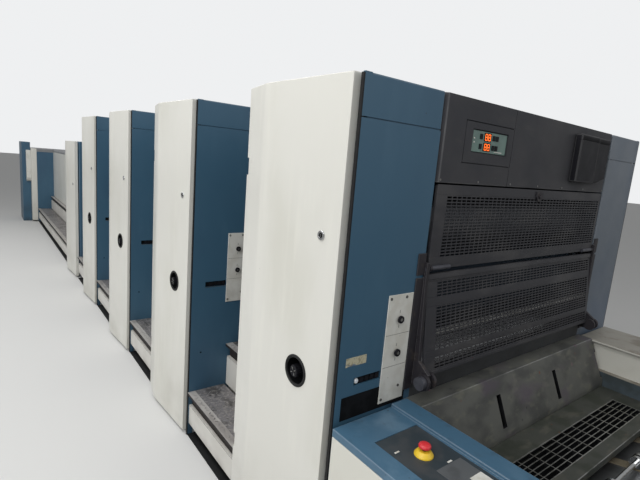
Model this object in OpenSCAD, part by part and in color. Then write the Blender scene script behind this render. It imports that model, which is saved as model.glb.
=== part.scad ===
// Sheet-fed offset printing press: feeder, feed table, four printing units,
// delivery head, extended delivery and delivery station in one line.
// +X points to the feeder, -Y is the operator side, +Z is up.
// The origin is on the floor, on the centre line, in the middle of the four units.

/* [Printing units] */
// Distance from one unit to the next along the press
unit_pitch = 1300; // [1150:10:1500]
// Length of one unit along the press
unit_l = 670; // [620:5:760]
// Height of a unit
unit_h = 1945; // [1880:5:2100]
// Width between the side housings
core_w = 1472; // [1300:2:1700]
// Width of a side housing
side_w = 358; // [300:1:450]
// Height of the cap above the joint line of a housing
cap_h = 135; // [100:1:200]
// Width and depth of a joint line
seam_cut = 4; // [2:1:8]
// Height of the plinth under a housing
plinth_h = 30; // [20:1:60]
// Setback of the plinth
plinth_set = 20; // [5:1:40]

/* [Cylinders] */
// Radius of the impression cylinder
impression_r = 300; // [280:1:305]
// Height of the impression cylinder's centre
impression_z = 720; // [680:1:750]
// Radius of the blanket cylinder
blanket_r = 150; // [140:1:155]
// Place of the blanket cylinder's centre in front of the unit's centre
blanket_x = 110; // [90:1:120]
// Radius of the plate cylinder
plate_r = 150; // [140:1:152]
// Place of the plate cylinder's centre in front of the unit's centre
plate_x = 140; // [120:1:145]
// Gap left at a cylinder nip
nip = 0.4; // [0.2:0.1:1]
// Gap around a cylinder in its pocket
pocket_gap = 12; // [8:1:16]
// Radius of a cylinder journal
journal_r = 45; // [30:1:60]
// Length of a cylinder journal
journal_l = 30; // [20:1:50]
// Width of the gap cut along a cylinder for its clamps
clamp_w = 60; // [40:1:90]
// Depth of that gap
clamp_d = 26; // [15:1:40]
// Angle of that gap above the level
clamp_turn = 20; // [0:1:45]

/* [Front cover] */
// Height of the front cover
cover_h = 318; // [280:1:330]
// Thickness of the front cover
cover_t = 25; // [15:1:40]
// Chamfer at the ends of the front cover
cover_chamfer = 22; // [10:1:24]
// Width of the recess for the display
display_w = 245; // [200:5:300]
// Height of the recess for the display
display_h = 89; // [70:1:110]
// Place of the display from the operator end of the cover
display_y = 192; // [150:1:260]
// Lower edge of the display above the cover's edge
display_z = 123; // [90:1:140]
// Depth of the display recess
display_d = 8; // [5:1:14]
// Thickness of the display panel
display_t = 4; // [2:1:5]
// Gap round the display panel
display_gap = 4; // [1:1:8]
// Distance of the black drive box from the cover's drive end
motor_end = 96; // [60:1:140]
// Width of the drive box's main part
motor_w = 200; // [150:5:260]
// Gap between the drive box's two parts
motor_gap = 10; // [4:1:16]
// Height of the drive box
motor_h = 234; // [180:1:260]
// How far the main part stands proud
motor_d = 36; // [20:1:60]
// Width of the drive box's side part
motor_side_w = 140; // [100:1:200]
// How far the side part stands proud
motor_side_d = 30; // [20:1:50]
// Length of the cut at the side part's lower corner
motor_cut_w = 110; // [60:1:130]
// Height of that cut
motor_cut_h = 25; // [10:1:40]
// Distance of the drive box from the cover's top
motor_top = 39; // [10:1:60]

/* [Guards] */
// Lower edge of the upper guard
upper_guard_z = 1298; // [1294:1:1310]
// Lower edge of the lower guard
lower_guard_z = 882; // [870:1:900]
// Upper edge of the lower guard
lower_guard_top = 1282; // [1200:1:1284]
// How far the lower guard's foot stands in front of its top
lower_guard_lean = 45; // [30:1:60]
// Sheet thickness of a guard
guard_t = 12; // [8:1:16]
// Margin beside the slots at a guard's operator end
guard_near_rim = 64; // [40:1:80]
// Margin beside the slots at a guard's drive end
guard_far_rim = 20; // [16:1:60]
// Height of an ear's grip on its guard
ear_hold = 21; // [16:1:26]
// Distance between the slot rows of a guard
slot_pitch = 13; // [11:1:20]
// Height of one slot
slot_h = 7; // [5:1:9]
// Upright ribs across a guard
guard_ribs = 6; // [3:1:12]
// Width of one rib
rib_w = 10; // [6:1:16]
// Width of a guard bracket
bracket_w = 16; // [10:1:20]
// Gap beside a swinging guard
guard_gap = 6; // [5:1:9]
// Radius of a guard pivot pin
guard_pin_r = 8; // [6:1:10]
// Height of the upper guard's pivot
upper_pivot_z = 1304; // [1302:1:1308]
// Height of the lower guard's pivot
lower_pivot_z = 878; // [868:1:890]
// How far the lower guard's pivot stands in front of its foot
pivot_out = 20; // [0:1:24]
// Width of the flange that holds a bracket on its housing
flange_w = 42; // [30:1:44]
// Thickness of that flange
flange_t = 5; // [4:1:8]
// Height of the flange beside the upper guard
flange_top_h = 83; // [60:1:120]
// Gap between the flange's two parts
flange_gap = 10; // [6:1:20]
// Thickness of the hub disc on a bracket's outer side
hub_t = 12; // [8:1:20]
// Radius of the hub disc at the lower guard's pivot
hub_r = 32; // [24:1:36]
// How far a bracket reaches into the unit
bracket_in = 70; // [40:1:80]
// Metal left round the pivots of a bracket
bracket_rim = 14; // [10:1:18]
// Running gap around a turning pin
pin_gap = 0.3; // [0.2:0.05:0.5]

/* [Doors] */
// Gap between a door's back and its housing
door_gap = 8; // [6:1:14]
// Thickness of a door at its lock edge
door_t = 36; // [30:1:44]
// Thickness of a door at its hinge edge
door_end_t = 30; // [26:1:40]
// How far the upright crease stands in front of the lock edge
door_crease = 33; // [20:1:50]
// Distance from the lock edge to the crease
door_crease_l = 460; // [400:5:560]
// How far a door reaches past its housing's rear
door_over = 19; // [16:1:24]
// Setback of the lock edge behind the unit's face
door_set = 28; // [15:1:40]
// Lower edge of a door
door_z = 20; // [15:1:60]
// Radius of the hand hole in a door
hand_hole_r = 54; // [42:1:60]
// Distance of the hand hole from the lock edge
hand_hole_x = 170; // [150:1:240]
// Height of the hand hole
hand_hole_z = 905; // [860:1:960]
// Radius of the round lock
lock_r = 15; // [8:1:18]
// Distance of the lock from the lock edge
lock_x = 87; // [70:1:140]
// Height of the lock
lock_z = 1425; // [1360:5:1480]
// How far the lock stands proud of the door
lock_d = 3; // [1:1:6]

/* [Door hinges] */
// Radius of a hinge pin
hinge_pin_r = 6; // [5:0.5:7]
// Radius of a hinge knuckle
knuckle_r = 9; // [8:0.5:9.5]
// Height of a hinge knuckle
knuckle_h = 60; // [40:1:90]
// Free space round a knuckle in its door
knuckle_gap = 6; // [5:1:8]
// Distance of the hinge axis from the door's edge
hinge_in = 8; // [7:0.5:9]
// Distance of the hinge axis from the door's back
hinge_back = 13; // [11.5:0.5:13]
// Depth of a hinge pin in the door
pin_in = 22; // [15:1:30]
// Gap left at a hinge pin's end
pin_end = 3; // [2:1:6]
// Distance of a hinge from the door's end
hinge_end = 320; // [310:5:400]
// How far a hinge bracket reaches along the housing's rear
hinge_hold = 34; // [20:1:60]

/* [Knobs] */
// Radius of a turn knob
turn_knob_r = 23; // [18:1:30]
// Thickness of a turn knob
turn_knob_t = 26; // [18:1:32]
// Radius of a turn knob's shaft
turn_shaft_r = 10; // [7:1:14]
// Depth of the shaft in the housing
turn_shaft_in = 34; // [20:1:60]
// Distance from the housing to the knob's back
turn_knob_off = 40; // [12:1:44]
// Width of the number plate with the register knobs
register_w = 127; // [100:1:150]
// Height of the number plate
register_h = 416; // [360:1:440]
// Lower edge of the number plate
register_z = 804; // [780:1:830]
// Distance of the number plate from the core
register_y = 46; // [30:1:60]
// Thickness of the number plate
register_t = 4; // [2:1:8]
// Radius of a register knob
register_knob_r = 14; // [10:1:20]
// Thickness of a register knob
register_knob_t = 8; // [6:1:20]
// Gap between the plate and a register knob
register_knob_gap = 5; // [5:1:8]
// Depth left free behind a shaft's end
shaft_room = 2; // [1:1:5]
// Radius of a register knob's shaft
register_shaft_r = 5; // [4:0.5:7]
// Depth of that shaft in the housing
register_shaft_in = 16; // [10:1:24]
// Height of the lower register knob
register_knob_z1 = 998; // [970:1:1020]
// Height of the upper register knob
register_knob_z2 = 1126; // [1090:1:1160]

/* [Recessed strip] */
// Length of the recessed button strip
strip_l = 130; // [100:1:160]
// Height of the recessed strip
strip_h = 31; // [20:1:40]
// Lower edge of the recessed strip
strip_z = 907; // [880:1:960]
// Depth of the recessed strip
strip_d = 12; // [6:1:20]

/* [Steps] */
// Height of the lower step
step_1_z = 273; // [230:1:300]
// Height of the upper step and the walkways
step_2_z = 535; // [500:1:560]
// How far the lower step stands in front of the housings
step_1_out = 30; // [15:1:60]
// Depth of the lower step
step_1_d = 230; // [200:1:280]
// Thickness of a tread plate
tread_t = 15; // [8:1:20]
// Height of the dark band under a tread
band_h = 65; // [40:1:90]
// Setback of that band behind the tread's nose
riser_set = 30; // [16:1:40]
// Setback of the riser panel under the band
panel_set = 12; // [6:1:14]
// Height of the free space for toes under a riser
toe_h = 75; // [40:1:100]
// Depth of that space behind the tread's nose
toe_set = 60; // [40:1:90]
// Setback of the steps behind the housings' outer face, beside a door
step_set = 2; // [1:1:6]
// Gap kept between a step's nose and a door
step_door_gap = 36; // [32:1:60]

/* [Aprons] */
// Height of the ledge under the guards
ledge_z = 787; // [760:1:800]
// Depth of the ledge
ledge_d = 78; // [60:1:110]
// Depth of the apron at its foot
apron_d = 172; // [150:1:200]
// Height of the apron's foot above the walkway
apron_foot = 35; // [20:1:60]
// Height of the frame's sill above the ledge
sill_h = 73; // [40:1:76]
// Length of plain slope above an apron slot
apron_top_edge = 77; // [40:1:100]
// Length of plain slope below an apron slot
apron_edge = 24; // [15:1:30]
// Panels across an apron
apron_panels = 3; // [2:1:4]
// Slot between two apron panels, half of it beside the outer ones
apron_slot = 26; // [12:1:34]
// Depth of that slot
apron_cut = 30; // [8:1:36]

/* [Infeed] */
// Length from the first unit to the feeder
infeed_l = 2000; // [1700:10:2400]
// Height of the side desk and of the drive side wall
desk_z = 785; // [760:1:820]
// Gap between the desk and the first unit
desk_gap = 15; // [5:1:20]
// Width of the desk
desk_w = 367; // [340:1:380]
// Distance of the desk's outer side from the housings
desk_out = 37; // [30:1:50]
// Thickness of the desk's top
desk_top_t = 30; // [20:1:40]
// Width of the rim along the desk
rim_w = 85; // [50:1:100]
// Height of the rim above the desk
rim_h = 12; // [6:1:20]
// Start of the sunk panel from the first unit
panel_x = 145; // [110:5:200]
// Length of the sunk panel
panel_l = 900; // [600:10:1200]
// Width of the sunk panel
panel_w = 205; // [150:1:230]
// Place of the sunk panel from the desk's outer face
panel_y = 71; // [50:1:90]
// Thickness of the sunk panel
panel_t = 4; // [2:1:6]
// How deep the panel's surface lies under the desk's top
panel_sunk = 2; // [1:1:4]
// Width of the drive side wall
wall_w = 338; // [300:1:340]
// Length of the footboard in front of the apron
footboard_l = 298; // [270:5:340]
// Thickness of the footboard
footboard_t = 35; // [25:1:45]
// Length of the grating along the press
grate_l = 134; // [110:1:160]
// Width of the grating across the press
grate_w = 1370; // [1200:10:1400]
// Distance of the grating from the footboard's free edge
grate_x = 60; // [50:1:80]
// Distance of the grating from the desk
grate_y = 24; // [15:1:40]
// Free depth under the grating's bars
grate_free = 15; // [10:1:20]
// Bars along the grating
grate_bars = 5; // [4:1:8]
// Cross bars of the grating
grate_cross = 13; // [8:1:20]
// Width of a grating bar
grate_bar = 4; // [3:1:8]
// Height of the base between the side walls
infeed_base_z = 360; // [320:5:380]

/* [Emergency stop] */
// Distance of the stop from the first unit
stop_x = 269; // [235:1:320]
// Distance of the stop from the sunk panel's outer edge
stop_y = 97; // [40:1:120]
// Floor left under the socket of the stop's stem
stop_floor = 4; // [3:1:8]
// Depth of the stem's foot above the panel
stop_foot = 10; // [9:0.5:14]
// Depth of the stem in the button's head
stop_stem_in = 2; // [1:0.5:4]
// Radius of the stop's base
stop_base_r = 31; // [20:1:36]
// Height of the stop's base
stop_base_h = 16; // [14:1:30]
// Radius of the stop's button
stop_r = 21.5; // [12:0.5:26]
// Height of the button's head
stop_h = 14; // [10:1:20]
// Radius of the button's stem
stop_stem_r = 6; // [4:1:8]
// Free height between base and head
stop_lift = 10; // [9:0.5:14]

/* [Feed table] */
// Height of the table at the first unit
table_z1 = 460; // [440:5:470]
// Height of the table at the feeder
table_z2 = 840; // [760:5:900]
// How far the table reaches under the footboard
table_under = 40; // [20:1:50]
// Distance of the outer cross tubes from the table's ends, as a share of its length
tube_share = 0.12; // [0.08:0.01:0.3]
// How deep a cross tube sinks into the table
tube_in = 4; // [2:1:8]
// Width of the table
table_w = 1180; // [1080:10:1300]
// Thickness of the table
table_t = 30; // [20:1:40]
// Radius of the cross tubes under the table
tube_r = 24; // [18:1:30]
// Transport tapes on the table
tapes = 4; // [2:1:6]
// Width of a tape
tape_w = 60; // [40:1:80]
// Thickness of a tape
tape_t = 3; // [2:1:6]
// Radius of a running wheel on the tapes
wheel_r = 26; // [18:1:34]
// Width of a running wheel
wheel_w = 16; // [10:1:24]
// Radius of the running wheels' shaft
wheel_shaft_r = 10; // [7:0.5:14]
// Distance of the running wheels from the footboard
wheel_x = 52; // [40:1:100]
// Gap between a wheel and its tape
wheel_gap = 0.3; // [0.2:0.1:1]

/* [Feeder] */
// Length of the feeder
feeder_l = 1800; // [1600:10:2100]
// Length of the feeder's front housing
feeder_front_l = 420; // [360:10:520]
// Height of the feeder's front housing
feeder_front_h = 1120; // [1000:10:1200]
// Width of a feeder post
post_w = 90; // [70:1:120]
// Height of the feeder's posts
post_h = 1500; // [1350:10:1650]
// Height of a top rail
rail_h = 110; // [80:1:140]
// Length of the pile board
board_l = 860; // [760:10:900]
// Width of the pile board
board_w = 1120; // [1000:10:1200]
// Thickness of the pile board
board_t = 60; // [40:1:80]
// Height of the pile board's underside
board_z = 140; // [120:1:200]
// Length of the suction head
head_l = 420; // [360:10:480]
// Width of the suction head
head_w = 640; // [500:10:760]
// Height of the suction head
head_h = 180; // [140:1:220]
// Height of the suction head's underside
head_z = 1090; // [1000:5:1130]
// Distance from the feeder's front to the suction head
head_x = 300; // [200:5:340]
// Distance of the feeder's pile board from the front housing
board_x = 40; // [30:1:60]
// Gap between the feeder's chains and its posts' outer side
chain_set = 20; // [15:1:40]
// Distance of a lifting bar from its board's end, as a share of the board's length
lift_share = 0.2; // [0.1:0.01:0.3]
// Height of a lifting bar under a pile board
lift_h = 60; // [40:1:80]
// Width of a lifting bar
lift_w = 60; // [40:1:80]
// Width of a lifting chain
chain_w = 24; // [16:1:32]
// Thickness of a lifting chain
chain_t = 14; // [10:1:20]

/* [Delivery] */
// Gap between the last unit and the delivery head
head_gap = 495; // [440:5:600]
// Length of the delivery head
dhead_l = 800; // [780:5:900]
// Height of the delivery head
dhead_h = 1690; // [1620:5:1760]
// How far the delivery door reaches past its housing's rear
delivery_door_over = 18; // [16:1:24]
// Length of the extended delivery
ext_l = 3950; // [3000:10:4500]
// Height of the extended delivery
ext_h = 1510; // [1400:5:1560]
// Run of the delivery head's slope down to the extended delivery
head_ramp = 180; // [60:5:300]
// Thickness of the hoods on the delivery
hood_t = 60; // [40:1:90]
// How far the extended delivery's sides stand outside the units' inner body
ext_out = 98; // [60:1:120]
// Bays of the extended delivery's covers
ext_bays = 5; // [3:1:6]
// Joint between two covers
ext_joint = 6; // [3:1:12]
// Length of the delivery station
station_l = 1420; // [1300:10:1600]
// Height of the delivery station
station_h = 1500; // [1450:5:1560]
// Thickness of the station's side covers
station_cover_t = 100; // [80:1:120]
// Clear length of the delivery's pile bay
bay_l = 1000; // [950:10:1050]
// Clear width of the delivery's pile bay
bay_w = 1240; // [1180:10:1300]
// Length of the control cabinet
cabinet_l = 640; // [500:10:760]
// Depth of the control cabinet
cabinet_d = 150; // [120:5:200]
// Height of the control cabinet
cabinet_h = 1620; // [1560:5:1700]
// Setback of the cabinet from the station's near end
cabinet_set = 130; // [110:5:180]
// Height of the operating box
box_h = 630; // [560:5:680]
// Depth of the operating box along the press
box_l = 100; // [70:1:108]
// Width of the operating box
box_w = 80; // [60:1:120]
// Lower edge of the operating box
box_z = 830; // [800:5:920]

/* [Hidden] */
$fn = 48;
UNITS = 4;
over = 1;
half_l = unit_l / 2;
core_y = core_w / 2;
side_y = core_y + side_w;
blanket_z = impression_z + sqrt(pow(impression_r + blanket_r + nip, 2) - pow(blanket_x, 2));
plate_z = blanket_z + sqrt(pow(plate_r + blanket_r + nip, 2) - pow(plate_x - blanket_x, 2));
cover_z = unit_h - cover_h;
upper_guard_h = cover_z - guard_gap - upper_guard_z;
cavity_z = ledge_z + sill_h;
upper_pivot_x = half_l + 2;
guard_foot_x = half_l + lower_guard_lean;
lower_pivot_x = guard_foot_x + pivot_out;
guard_y = core_y - bracket_w - guard_gap;
lower_lean = atan(lower_guard_lean / (lower_guard_top - lower_guard_z));
lower_guard_h = (lower_guard_top - lower_guard_z) / cos(lower_lean);
ear_t = 12;
ear_in = 3;
ear_grip = 4;
ear_r = guard_pin_r + 3;
door_l = unit_l - door_set + door_over;
delivery_door_l = dhead_l - door_set + delivery_door_over;
door_back = side_y + door_gap;
hinge_y = door_back + hinge_back;
desk_y = side_y + desk_out;
register_mid = -core_y - register_y - register_w / 2;
first_face = unit_x(0) + half_l;
last_back = unit_x(UNITS - 1) - half_l;
step_y = side_y + step_1_out;
walk_y = step_y - step_1_d;
desk_in = desk_y - desk_w;
wall_in = side_y - wall_w;
apron_x = first_face + apron_d;
foot_end = apron_x + footboard_l;
feeder_x = first_face + infeed_l;
feeder_end = feeder_x + feeder_l;
table_x = foot_end - table_under;
table_rise = (table_z2 - table_z1) / (feeder_x - table_x);
dhead_x = last_back - head_gap;
ext_x = dhead_x - dhead_l;
station_x = ext_x - ext_l;
station_end = station_x - station_l;
ext_y = core_y + ext_out;
rail_y = side_y - post_w;
// Slot fields of the guards, from and to, as shares of their height
UPPER_FIELDS = [[0.146, 0.882]];
LOWER_FIELDS = [[0.055, 0.18], [0.238, 0.678], [0.768, 0.922]];

// Centre of unit i, counted from the feeder
function unit_x(i) = ((UNITS - 1) / 2 - i) * unit_pitch;

// Height of the feed table's upper face
function table_top(x) = table_z1 + (x - table_x) * table_rise;

module at_unit(i) translate([unit_x(i), 0, 0]) children();

module at_units() for (i = [0 : UNITS - 1]) at_unit(i) children();

// The same piece on both sides of the centre line
module both_sides() {
    children();
    mirror([0, 1, 0]) children();
}

// Box given by its low and high corners
module span(low, high) translate(low) cube(high - low);

// Round bar along Y
module rod_y(x, y, z, l, r) translate([x, y, z]) rotate([-90, 0, 0]) cylinder(r = r, h = l);

// Round bar along X
module rod_x(x, y, z, l, r) translate([x, y, z]) rotate([0, 90, 0]) cylinder(r = r, h = l);

// Side view drawn in X and Z, run along Y
module run_y(y, l) translate([0, y + l, 0]) rotate([90, 0, 0]) linear_extrude(l) children();

// Front view drawn in Y and Z, run along X
module run_x(x, l) translate([x, 0, 0]) rotate([90, 0, 90]) linear_extrude(l) children();

// Inner body of one unit, with pockets for the three cylinders
module unit_frame() {
    run_y(-core_y, core_w) difference() {
        union() {
            translate([-half_l + cover_t, 0]) square([unit_l - 2 * cover_t, unit_h]);
            translate([-half_l, 0]) square([unit_l, step_2_z]);
            square([half_l, cavity_z]);
        }
        translate([0, impression_z]) circle(r = impression_r + pocket_gap, $fn = 96);
        translate([blanket_x, blanket_z]) circle(r = blanket_r + pocket_gap, $fn = 64);
        translate([plate_x, plate_z]) circle(r = plate_r + pocket_gap, $fn = 64);
        translate([blanket_x, cavity_z]) square([half_l, cover_z - cavity_z]);
    }
}

module unit_frames() color("dimgray") at_units() unit_frame();

// Closed side housing on a plinth, with the joint line under its cap
module housing(l, w, h) {
    seam = h - cap_h;
    difference() {
        union() {
            span([-l / 2, 0, plinth_h], [l / 2, w, h]);
            span([-l / 2 + plinth_set, plinth_set, 0], [l / 2 - plinth_set, w, plinth_h]);
        }
        difference() {
            span([-l / 2 - over, -over, seam], [l / 2 + over, w + over, seam + seam_cut]);
            span([-l / 2 + seam_cut, seam_cut, seam - over],
                [l / 2 - seam_cut, w - seam_cut, seam + seam_cut + over]);
        }
    }
}

module operator_housing() {
    strip_y = register_mid - register_w / 2 - strip_l;
    difference() {
        translate([0, -side_y, 0]) housing(unit_l, side_w, unit_h);
        span([half_l - strip_d, strip_y, strip_z],
            [half_l + over, strip_y + strip_l, strip_z + strip_h]);
        rod_y(hand_hole_at(), -side_y - over, hand_hole_z, turn_shaft_in + over + shaft_room,
            turn_shaft_r + pin_gap);
        for (z = [register_knob_z1, register_knob_z2])
            rod_x(half_l - register_shaft_in - shaft_room, register_mid, z,
                register_shaft_in + shaft_room + over, register_shaft_r + pin_gap);
    }
}

// Place of the hand hole in front of the unit's centre
function hand_hole_at() = half_l - door_set - hand_hole_x;

module operator_housings() color("steelblue") at_units() operator_housing();

module drive_housings() color("steelblue") at_units()
    translate([0, side_y, 0]) mirror([0, 1, 0]) housing(unit_l, side_w, unit_h);

// Outline of a door or side cover seen from above, lock edge at x = 0
module door_outline(l) {
    polygon([[0, 0], [0, -door_t], [-door_crease_l, -door_t - door_crease],
        [-l, -door_end_t], [-l, 0]]);
}

// Distance from a door's back to its front face at x behind the lock edge
function door_face(x) = door_t + door_crease * x / door_crease_l;

// Heights of the two hinges of a door
function hinge_heights(h) = [door_z + hinge_end, h - hinge_end];

// Door leaf with its lock edge at x = 0 and its back at y = 0
module door_leaf(l, h, lock_at) {
    knuckle_room = knuckle_h / 2 + knuckle_gap;
    difference() {
        union() {
            translate([0, 0, door_z]) linear_extrude(h - door_z) door_outline(l);
            rod_y(-lock_x, -door_face(lock_x) - lock_d, lock_at, lock_d + door_t / 2, lock_r);
        }
        for (z = hinge_heights(h)) {
            span([-l - over, -door_t - door_crease, z - knuckle_room],
                [-l + hinge_in + knuckle_r + knuckle_gap, over, z + knuckle_room]);
            translate([-l + hinge_in, -hinge_back, z - knuckle_room - pin_in])
                cylinder(r = hinge_pin_r + pin_gap, h = 2 * (knuckle_room + pin_in));
        }
    }
}

module unit_door(i) color("gainsboro")
    translate([unit_x(i) + half_l - door_set, -door_back, 0]) difference() {
        door_leaf(door_l, unit_h, lock_z);
        rod_y(-hand_hole_x, -door_t - door_crease - over, hand_hole_z,
            door_t + door_crease + 2 * over, hand_hole_r);
    }

module unit_1_door() unit_door(0);
module unit_2_door() unit_door(1);
module unit_3_door() unit_door(2);
module unit_4_door() unit_door(3);

module delivery_door() color("gainsboro")
    translate([dhead_x - door_set, -door_back, 0])
        door_leaf(delivery_door_l, dhead_h, lock_z - unit_h + dhead_h);

// Bracket, knuckle and pin of one door hinge on the rear face of its housing
module hinge(x, rear, z) {
    pin_half = knuckle_h / 2 + knuckle_gap + pin_in - pin_end;
    translate([x, -hinge_y, z - knuckle_h / 2]) cylinder(r = knuckle_r, h = knuckle_h);
    translate([x, -hinge_y, z - pin_half]) cylinder(r = hinge_pin_r, h = 2 * pin_half);
    span([x - knuckle_r, -hinge_y, z - knuckle_h / 2],
        [rear, -side_y + hinge_hold, z + knuckle_h / 2]);
}

module door_hinges() color("gray") {
    for (i = [0 : UNITS - 1], z = hinge_heights(unit_h))
        hinge(unit_x(i) - half_l - door_over + hinge_in, unit_x(i) - half_l, z);
    for (z = hinge_heights(dhead_h))
        hinge(ext_x - delivery_door_over + hinge_in, ext_x, z);
}

// Fixed covers on the drive side, with the doors' outline
module drive_cover(l, h)
    translate([0, side_y, door_z]) linear_extrude(h - door_z) mirror([0, 1]) door_outline(l);

module drive_covers() color("gainsboro") {
    for (i = [0 : UNITS - 1])
        translate([unit_x(i) + half_l - door_set, 0, 0]) drive_cover(unit_l - door_set, unit_h);
    translate([dhead_x - door_set, 0, 0]) drive_cover(dhead_l - door_set, dhead_h);
}

// Turn knob on its shaft, seen through the hand hole of a door
module turn_knob(i) color("dimgray") {
    knob_y = -side_y - turn_knob_off - turn_knob_t;
    x = unit_x(i) + hand_hole_at();
    rod_y(x, knob_y, hand_hole_z, turn_knob_t, turn_knob_r);
    rod_y(x, knob_y + turn_knob_t / 2, hand_hole_z,
        turn_knob_t / 2 + turn_knob_off + turn_shaft_in, turn_shaft_r);
}

module turn_knob_1() turn_knob(0);
module turn_knob_2() turn_knob(1);
module turn_knob_3() turn_knob(2);
module turn_knob_4() turn_knob(3);

// Register knob with its shaft through the number plate
module register_knob(z) {
    knob_x = half_l + register_t + register_knob_gap;
    rod_x(half_l - register_shaft_in, register_mid, z,
        register_shaft_in + register_t + register_knob_gap + register_knob_t / 2, register_shaft_r);
    rod_x(knob_x, register_mid, z, register_knob_t, register_knob_r);
}

module register_plate(bore_r) {
    difference() {
        span([half_l, register_mid - register_w / 2, register_z],
            [half_l + register_t, register_mid + register_w / 2, register_z + register_h]);
        for (z = [register_knob_z1, register_knob_z2])
            rod_x(half_l - over, register_mid, z, register_t + 2 * over, bore_r);
    }
}

// The plates of the rear units carry their knobs
module register_plates() color("white") {
    at_unit(0) register_plate(register_shaft_r + pin_gap);
    for (i = [1 : UNITS - 1]) at_unit(i) {
        register_plate(register_shaft_r);
        for (z = [register_knob_z1, register_knob_z2]) register_knob(z);
    }
}

module upper_register_knob() color("dimgray") at_unit(0) register_knob(register_knob_z2);
module lower_register_knob() color("dimgray") at_unit(0) register_knob(register_knob_z1);

// Upper front cover with the recess for its display
module front_cover() {
    difference() {
        translate([0, 0, cover_z]) linear_extrude(unit_h - cover_z) polygon([
            [half_l - cover_t, -core_y], [half_l - cover_chamfer, -core_y],
            [half_l, -core_y + cover_chamfer], [half_l, core_y - cover_chamfer],
            [half_l - cover_chamfer, core_y], [half_l - cover_t, core_y]]);
        span([half_l - display_d, -core_y + display_y, cover_z + display_z],
            [half_l + over, -core_y + display_y + display_w, cover_z + display_z + display_h]);
    }
}

module front_covers() color("darkslategray") at_units() front_cover();

module display_panels() color("darkseagreen") at_units()
    translate([half_l - display_d, -core_y + display_y, 0]) span([0, display_gap, cover_z + display_z + display_gap],
        [display_t, display_w - display_gap, cover_z + display_z + display_h - display_gap]);

// Drive box of the ink duct: a main part and a side part with a cut lower corner
module ink_drive_boxes() color("black") at_units() {
    low = unit_h - motor_top - motor_h;
    end_y = core_y - motor_end;
    side_part_y = end_y - motor_side_w;
    main_y = side_part_y - motor_gap;
    span([half_l, main_y - motor_w, low], [half_l + motor_d, main_y, low + motor_h]);
    run_x(half_l, motor_side_d) polygon([[side_part_y, low], [end_y - motor_cut_w, low],
        [end_y, low + motor_cut_h], [end_y, low + motor_h], [side_part_y, low + motor_h]]);
}

module rear_covers() color("darkslategray") at_units() difference() {
    span([-half_l, -core_y, step_2_z], [-half_l + cover_t, core_y, unit_h]);
    for (z = [cavity_z, cover_z])
        span([-half_l - over, -core_y - over, z], [-half_l + seam_cut, core_y + over, z + seam_cut]);
}

// Cylinder with its journals, carried at the inner faces of the side housings
module press_cylinder(x, z, r) {
    difference() {
        rod_y(x, -core_y + journal_l, z, core_w - 2 * journal_l, r);
        translate([x, 0, z]) rotate([0, -clamp_turn, 0])
            span([r - clamp_d, -core_y, -clamp_w / 2], [r + clamp_w, core_y, clamp_w / 2]);
    }
    rod_y(x, -core_y, z, core_w, journal_r);
}

module impression_cylinders() color("silver") at_units() {
    rod_y(0, -core_y + journal_l, impression_z, core_w - 2 * journal_l, impression_r);
    rod_y(0, -core_y, impression_z, core_w, journal_r);
}

module blanket_cylinders() color("slategray") at_units() press_cylinder(blanket_x, blanket_z, blanket_r);

module plate_cylinders() color("silver") at_units() press_cylinder(plate_x, plate_z, plate_r);

// Slotted sheet in Y and Z, its lower edge at z = 0, with the slot fields given
module slotted_sheet(h, fields) {
    bay = (2 * guard_y - guard_near_rim - guard_far_rim + rib_w) / (guard_ribs + 1);
    run_x(-guard_t, guard_t) difference() {
        translate([-guard_y, 0]) square([2 * guard_y, h]);
        for (field = fields) {
            rows = round((field[1] - field[0]) * h / slot_pitch);
            for (row = [0 : rows - 1], column = [0 : guard_ribs])
                translate([-guard_y + guard_near_rim + column * bay, field[0] * h + row * slot_pitch])
                    square([bay - rib_w, slot_h]);
        }
    }
}

// Pivot ear and pin at both ends of a guard: a hub round the pivot and an arm of
// height h that leans with the sheet and grips it, its front face at x
module guard_ears(x, pivot_x, pivot_z, r, h, lean) both_sides() {
    shift = -h * tan(lean);
    run_y(-guard_y + ear_in, ear_t) {
        translate([pivot_x, pivot_z]) circle(r = r);
        polygon([[x - guard_t - 2 * ear_grip, pivot_z], [x, pivot_z], [x + shift, pivot_z + h],
            [x - guard_t - 2 * ear_grip + shift, pivot_z + h]]);
    }
    rod_y(pivot_x, -guard_y - guard_gap - bracket_w, pivot_z,
        guard_gap + bracket_w + ear_in + ear_t / 2, guard_pin_r);
}

module upper_guard_sheet() {
    translate([half_l, 0, upper_guard_z]) slotted_sheet(upper_guard_h, UPPER_FIELDS);
    guard_ears(half_l + ear_grip, upper_pivot_x, upper_pivot_z, ear_r,
        upper_guard_z - upper_pivot_z + ear_hold, 0);
}

module lower_guard_sheet() {
    drop = lower_guard_z - lower_pivot_z;
    translate([guard_foot_x, 0, lower_guard_z]) rotate([0, -lower_lean, 0])
        slotted_sheet(lower_guard_h, LOWER_FIELDS);
    guard_ears(guard_foot_x + drop * tan(lower_lean) + ear_grip, lower_pivot_x, lower_pivot_z, hub_r,
        drop + ear_hold, lower_lean);
}

module upper_guard() color("darkslategray") at_unit(0) upper_guard_sheet();

module lower_guard() color("darkslategray") at_unit(0) lower_guard_sheet();

module rear_unit_guards() color("darkslategray") for (i = [1 : UNITS - 1]) at_unit(i) {
    upper_guard_sheet();
    lower_guard_sheet();
}

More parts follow.
